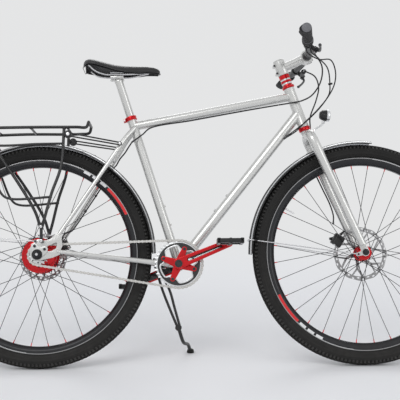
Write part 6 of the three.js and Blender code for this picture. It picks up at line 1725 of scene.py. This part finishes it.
shell = on_lamp([(0, -17), (7, -17), (10.4, -16), (13.6, -12.6), (13.6, -11.4), (14.4, -11), (15.6, -9.4),
    (15.6, -8.4), (16.4, -8), (18, -1), (19.4, 7), (19.4, 14.5)], black_coat)
front_band = on_lamp([(19.3, 7.6), (19.9, 8), (19.9, 16.4), (19.5, 17), (18.2, 17), (18, 16), (18, 13.6)],
    polished_alloy)
bowl = on_lamp([(18, 15), (15, 11.8), (10, 9), (4, 7.4), (0, 7)], polished_alloy)
tail = pin(LAMP - lamp_run * 16.8, LAMP - lamp_run * 17, 4, moulded_black, 24, 0.05)
fin = block((LAMP.x - 9, -7, LAMP.z + 14.4), (LAMP.x + 11, 7, LAMP.z + 17.6), silver_paint, 1.4, 3)
fit(joined(shell, front_band, bowl, tail, fin), "headlight_shell", "steering_body", ["headlight"])
lens_piece = on_lamp([(0, 13.7), (17.4, 13.7), (17.5, 16.8), (15, 18.4), (10, 19.9), (5, 20.7), (0, 21)],
    lens_clear)
fit(lens_piece, "headlight_window", "steering_body", ["headlight_lens"], smooth=50)


def at_lamp(run, up):
    return LAMP + lamp_run * run + Vector((0, 0, up))


lamp_stem = steer(431.5, 19.5)
bracket_bar = tube(smooth_path([at_lamp(-4, -24), at_lamp(-6, -30), lamp_stem + Vector((9, 0, 14)),
    lamp_stem + STEER_FORWARD * 5], 18), 2.9, polished_alloy, 20)
bracket_feet = [pin(lamp_stem + STEER_FORWARD * 0.4, lamp_stem + STEER_FORWARD * 7.8, 5.4, polished_alloy, 28,
        0.6),
    socket_bolt(lamp_stem + STEER_FORWARD * 7.6, STEER_FORWARD, 4, 1.4, bright_steel),
    pin(at_lamp(-4, -19.8), at_lamp(-4, -28), 5.8, polished_alloy, 28, 0.8),
    pin(at_lamp(-4, -24) + Vector((0, -6.6, 0)), at_lamp(-4, -24) + Vector((0, 6.6, 0)), 3.4, bright_steel, 6,
        0.4)]
fit(joined(bracket_bar, bracket_feet), "headlight_arm", "steering_body", ["headlight_bracket"])

# %% [markdown]
# ## Rack
# The rack is bent and welded from tube: a platform, three legs a side that meet above the axle, a lower
# rail for bags, and stays to the frame with a round clamp. Each run is one swept tube through its bends.

# %% Rack sides
DECK = 782


def rack_side(hand):
    def at(x, out, z):
        return Vector((x, hand * out, z))
    runs = [([at(158, 42, 802), at(151, 48, 784), at(120, 58, DECK), at(-60, 58, DECK), at(-216, 58, 778),
            at(-246, 38, 776)], 5),
        ([at(80, 58, DECK), at(72, 68, 650), at(44, 78, 560), at(24, 86, 480), at(14, 86, 442)], 5),
        ([at(-190, 58, DECK), at(-140, 68, 706), at(-60, 78, 590), at(-6, 86, 500), at(12, 86, 448)], 5),
        ([at(46, 80, 549), at(-86, 86, 543), at(-112, 84, 556), at(-150, 76, 640), at(-186, 66, 736)], 4),
        ([at(74, 64, 726), at(0, 71, 724), at(-150, 70, 722), at(-196, 62, 744), at(-212, 58, DECK)], 4)]
    made = [tube(smooth_path(points, 40), size - 0.05, black_coat, 20) for points, size in runs]
    for place, toward in ((at(80, 58, DECK), at(78, 62, 730)), (at(-190, 58, DECK), at(-170, 61, 752))):
        run = (toward - place).normalized()
        made.append(tube([place + run * 3, place + run * 6, place + run * 8], [6.6, 6.2, 5.1], black_coat,
            20))
    clamp_face = [(0, 0), (12.4, 0), (13, 0.8), (13, 8), (11, 9.6), (6, 10), (0, 10)]
    out = (0, hand, 0)
    made += [pin(at(14, 86, 446), at(14, 82, 407), 4.9, black_coat, 24, 0.6),
        pin(at(14, 69.2, 407), at(14, 87.6, 407), 6, black_coat, 32, 0.6),
        socket_bolt(at(14, 87.4, 407), out, 5, 2.6, bright_steel),
        socket_bolt(at(13, 90.6, 452), out, 4.6, 2.4, bright_steel),
        turned(clamp_face, at(94, 62, 756), at(94, 63, 756), black_coat, 40),
        socket_bolt(at(94, 71.8, 756), out, 5.6, 2.4, bright_steel),
        pin(at(78, 63, 756), at(94, 66, 756), 3.9, black_coat, 20, 0.6)]
    for lift in (5, -5):
        made.append(pin(at(96, 67, 756 + lift), at(262, 52.3, 727 + lift * 0.8), 2.5, black_coat, 16, 0.4))
    made.append(pin(at(262, 49.4, 727), at(262, 56, 727), 6.9, black_coat, 28, 0.6))
    made.append(socket_bolt(at(262, 55.8, 727), out, 4.4, 1.8, bright_steel))
    return made


# %% Rack platform
CROSS_PLACES, DECK_ENDS = (90, -30, -150), ((158, 42, 802), (-246, 38, 776))
platform = [tube([(x, -wide, z), (x, 0, z), (x, wide, z)], 4.95, black_coat, 20) for x, wide, z in DECK_ENDS]
platform += [tube([(x, -58, DECK), (x, 0, DECK), (x, 58, DECK)], 3.95, black_coat, 16) for x in CROSS_PLACES]
for x, wide, z in DECK_ENDS:
    for hand in HANDS:
        deselect()
        bpy.ops.mesh.primitive_uv_sphere_add(segments=20, ring_count=12, radius=5,
            location=(x, hand * wide, z))
        platform.append(coat(bpy.context.object, black_coat))
for x in CROSS_PLACES:
    for hand in HANDS:
        bead = [(x, hand * out, DECK) for out in (53.4, 51.6, 50)]
        platform.append(tube(bead, [5.6, 5.2, 4.1], black_coat, 16))
fit(joined(platform, rack_side(RIGHT), rack_side(LEFT)), "rack_frame", "frame_body", ["rack"])

# %% [markdown]
# ## Side stand
# Two plates clamp the chainstays between them. The leg is a pair of bars that turn on a pivot and end at a
# knuckle, where a slotted foot swings out sideways and ends in a rubber pad on the ground.

# %% Stand bracket
plates = [block((368.2, -25.8, 347.6), (403.8, 25.8, 352.4), black_coat, 1.6, 3),
    block((371.2, -25.8, 320.7), (406.8, 38.8, 325.5), black_coat, 1.6, 3),
    block((378.2, 22.2, 290.2), (395.8, 38.8, 324.6), black_coat, 2.2, 3),
    pin((404, 0, 320.4), (404, 0, 354.4), 3.3, bright_steel, 20, 0.3),
    socket_bolt((404, 0, 352.4), (0, 0, 1), 5, 3),
    sleeve((404, 0, 320.6), (404, 0, 318.6), 5.6, 3.2, bright_steel, 6, 0.3),
    pin((387, 21.8, 300), (387, 38.9, 300), 7.4, bright_steel, 28, 0.6)]
fit(joined(plates), "stand_clamp", "frame_body", ["stand_bracket"])

# %% Stand leg and foot
leg_runs = ([(382, 46, 300), (397, 47, 250), (420, 50, 190), (444, 52, 132)], [(396, 46, 300), (421, 47, 248),
    (437, 50, 190), (453, 52, 132)])
leg_parts = [tube(smooth_path(run, 26), 4.4, black_coat, 20) for run in leg_runs]
leg_parts += [turned([(0, 0), (10.2, 0), (10.9, 0.8), (10.9, 12.6), (9.8, 13.6), (0, 13.6)], (389, 39.4, 300),
        (389, 40.4, 300), black_coat, 44),
    socket_bolt((389, 52.8, 300), (0, 1, 0), 6, 2.4, bright_steel),
    pin((449, 46.2, 126), (449, 57.8, 126), 10.9, black_coat, 40, 1.2)]
fit(joined(leg_parts), "stand_bars", "stand_body", ["stand_leg"])
foot_path = smooth_path([(449, 66, 128), (455, 69, 106), (465, 92, 77), (481, 150, 66.3), (487, 172, 49),
    (489, 178, 47)], 30)
foot_parts = [tube(foot_path, 5.9, black_coat, 20),
    pin((449, 58.5, 126), (449, 69.8, 126), 9.8, black_coat, 40, 1.2),
    socket_bolt((449, 69.6, 126), (0, 1, 0), 5.4, 1.6, bright_steel)]
GROUND_TILT = Matrix.Translation((489, 180, 180 * tan(-LEAN))) @ Matrix.Rotation(-LEAN, 4, "X")
pad = turned([(0, 0.3), (11.4, 0.3), (12.6, 1.2), (12.8, 3.2), (11.6, 5.4), (11.8, 7.4), (10.4, 10.6),
    (7.4, 13), (0, 14)], (0, 0, 0), (0, 0, 1), tyre_rubber, 40)
foot_parts.append(moved(pad, GROUND_TILT))
fit(joined(foot_parts), "stand_foot_arm", "stand_body", ["stand_foot"])

# %% [markdown]
# ## Hoses and cables
# The hoses are held along their whole run, so each is one swept tube with a ferrule at its ends. The two
# loops between the frame and the handlebar are swept once, in their shape with the bar straight.

# %% Hoses that ride on one body
def hose(points, radius, ends=(True, True), count=90):
    path = smooth_path(points, count)
    made = [tube(path, radius, hose_black, 14)]
    for is_there, a, b in ((ends[0], path[0], path[2]), (ends[1], path[-1], path[-3])):
        if is_there:
            made.append(pin(a, a + (b - a).normalized() * 9, radius + 0.7, dark_steel, 14, 0.4))
    return made


front_run = [lever_point(LEFT, 111.3, 22), (930, 80, 985), (938, 58, 940), (925, 42, 890), steer(491, 40, 38),
    steer(455, 30, 58), steer(415, 8, 72.5), steer(370, -8, 66), steer(320, -10, 56), steer(250, -5, 55),
    steer(190, 0, 56), steer(150, -4, 52), steer(124, -16, 44)]
fit(joined(hose(front_run, 2.4, count=150)), "front_hose_run", "steering_body", ["front_brake_hose"])
fixed_run = [(789, -14, 862.6), (700, -9, 848.8), (500, -9, 812.8), (360, -11, 787), (335, -20, 764),
    (300, -30, 736)]
fit(joined(hose(fixed_run, 2.4, (False, True))), "top_tube_hose", "frame_body", ["frame_cables"])

# %% Hose down the left seat stay
# From the end of the fixed hose it goes on between the stays, then down the left one to the rear caliper.
stay_run = [(300, -30, 736), (290, -26, 722), (276, -14, 703), (258, 6, 686), (244, 28, 668),
    (234.8, 42.5, 661.6), (215.4, 47, 631.8), (174, 54.1, 568.8), (138.6, 60, 516.9), (110.9, 62, 475),
    (92, 56, 450), (76, 50.5, 444), (65.5, 48.5, 435), (64, 48, 423)]
stay_line = Vector((-0.547, 0.094, -0.832))
stay_clips = [pin(Vector(place) - stay_line * 4, Vector(place) + stay_line * 4, 3.6, moulded_black, 16, 0.5)
    for place in stay_run[6:9]]
fit(joined(hose(stay_run, 2.4, (False, True), 200), stay_clips), "seat_stay_hose", "frame_body")


# %% Loops between the frame and the steering
def bends_with_steering(piece, name, node):
    """Stands a loop up, writes its place into its mesh and hides its CAD node."""
    stand_up(piece, name, 50)
    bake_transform(piece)
    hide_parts(node)


free_run = [lever_point(RIGHT, 111.3, 22), (928, -84, 975), (926, -62, 930), (900, -40, 890), (868, -28, 874),
    (830, -22, 867.4), (790, -14, 862.8)]
bends_with_steering(joined(hose(free_run, 2.4, (True, False))), "rear_hose_bow", "rear_hose_loop")
shift_one = [(862, -186.9, 1011), (868, -172, 996), (905, -164, 976), (946, -148, 978), (964, -128, 946),
    (963, -98, 906), (930, -62, 852), (884, -36, 806), (850, -28, 780), (812, -25, 752)]
shift_two = [(874, -186.4, 1013), (880, -174, 997), (905, -156, 982), (936, -136, 957), (950, -98, 914),
    (950, -70, 882), (914, -54, 836), (872, -32, 797), (846, -18, 772), (804.8, -12.6, 746.6)]
clip = pin((957, -104, 912), (945, -98, 911), 3.3, moulded_black, 16, 0.5)
bends_with_steering(joined(hose(shift_one, 2.1), hose(shift_two, 2.1), clip), "shift_cable_bows",
    "shift_cable_loops")
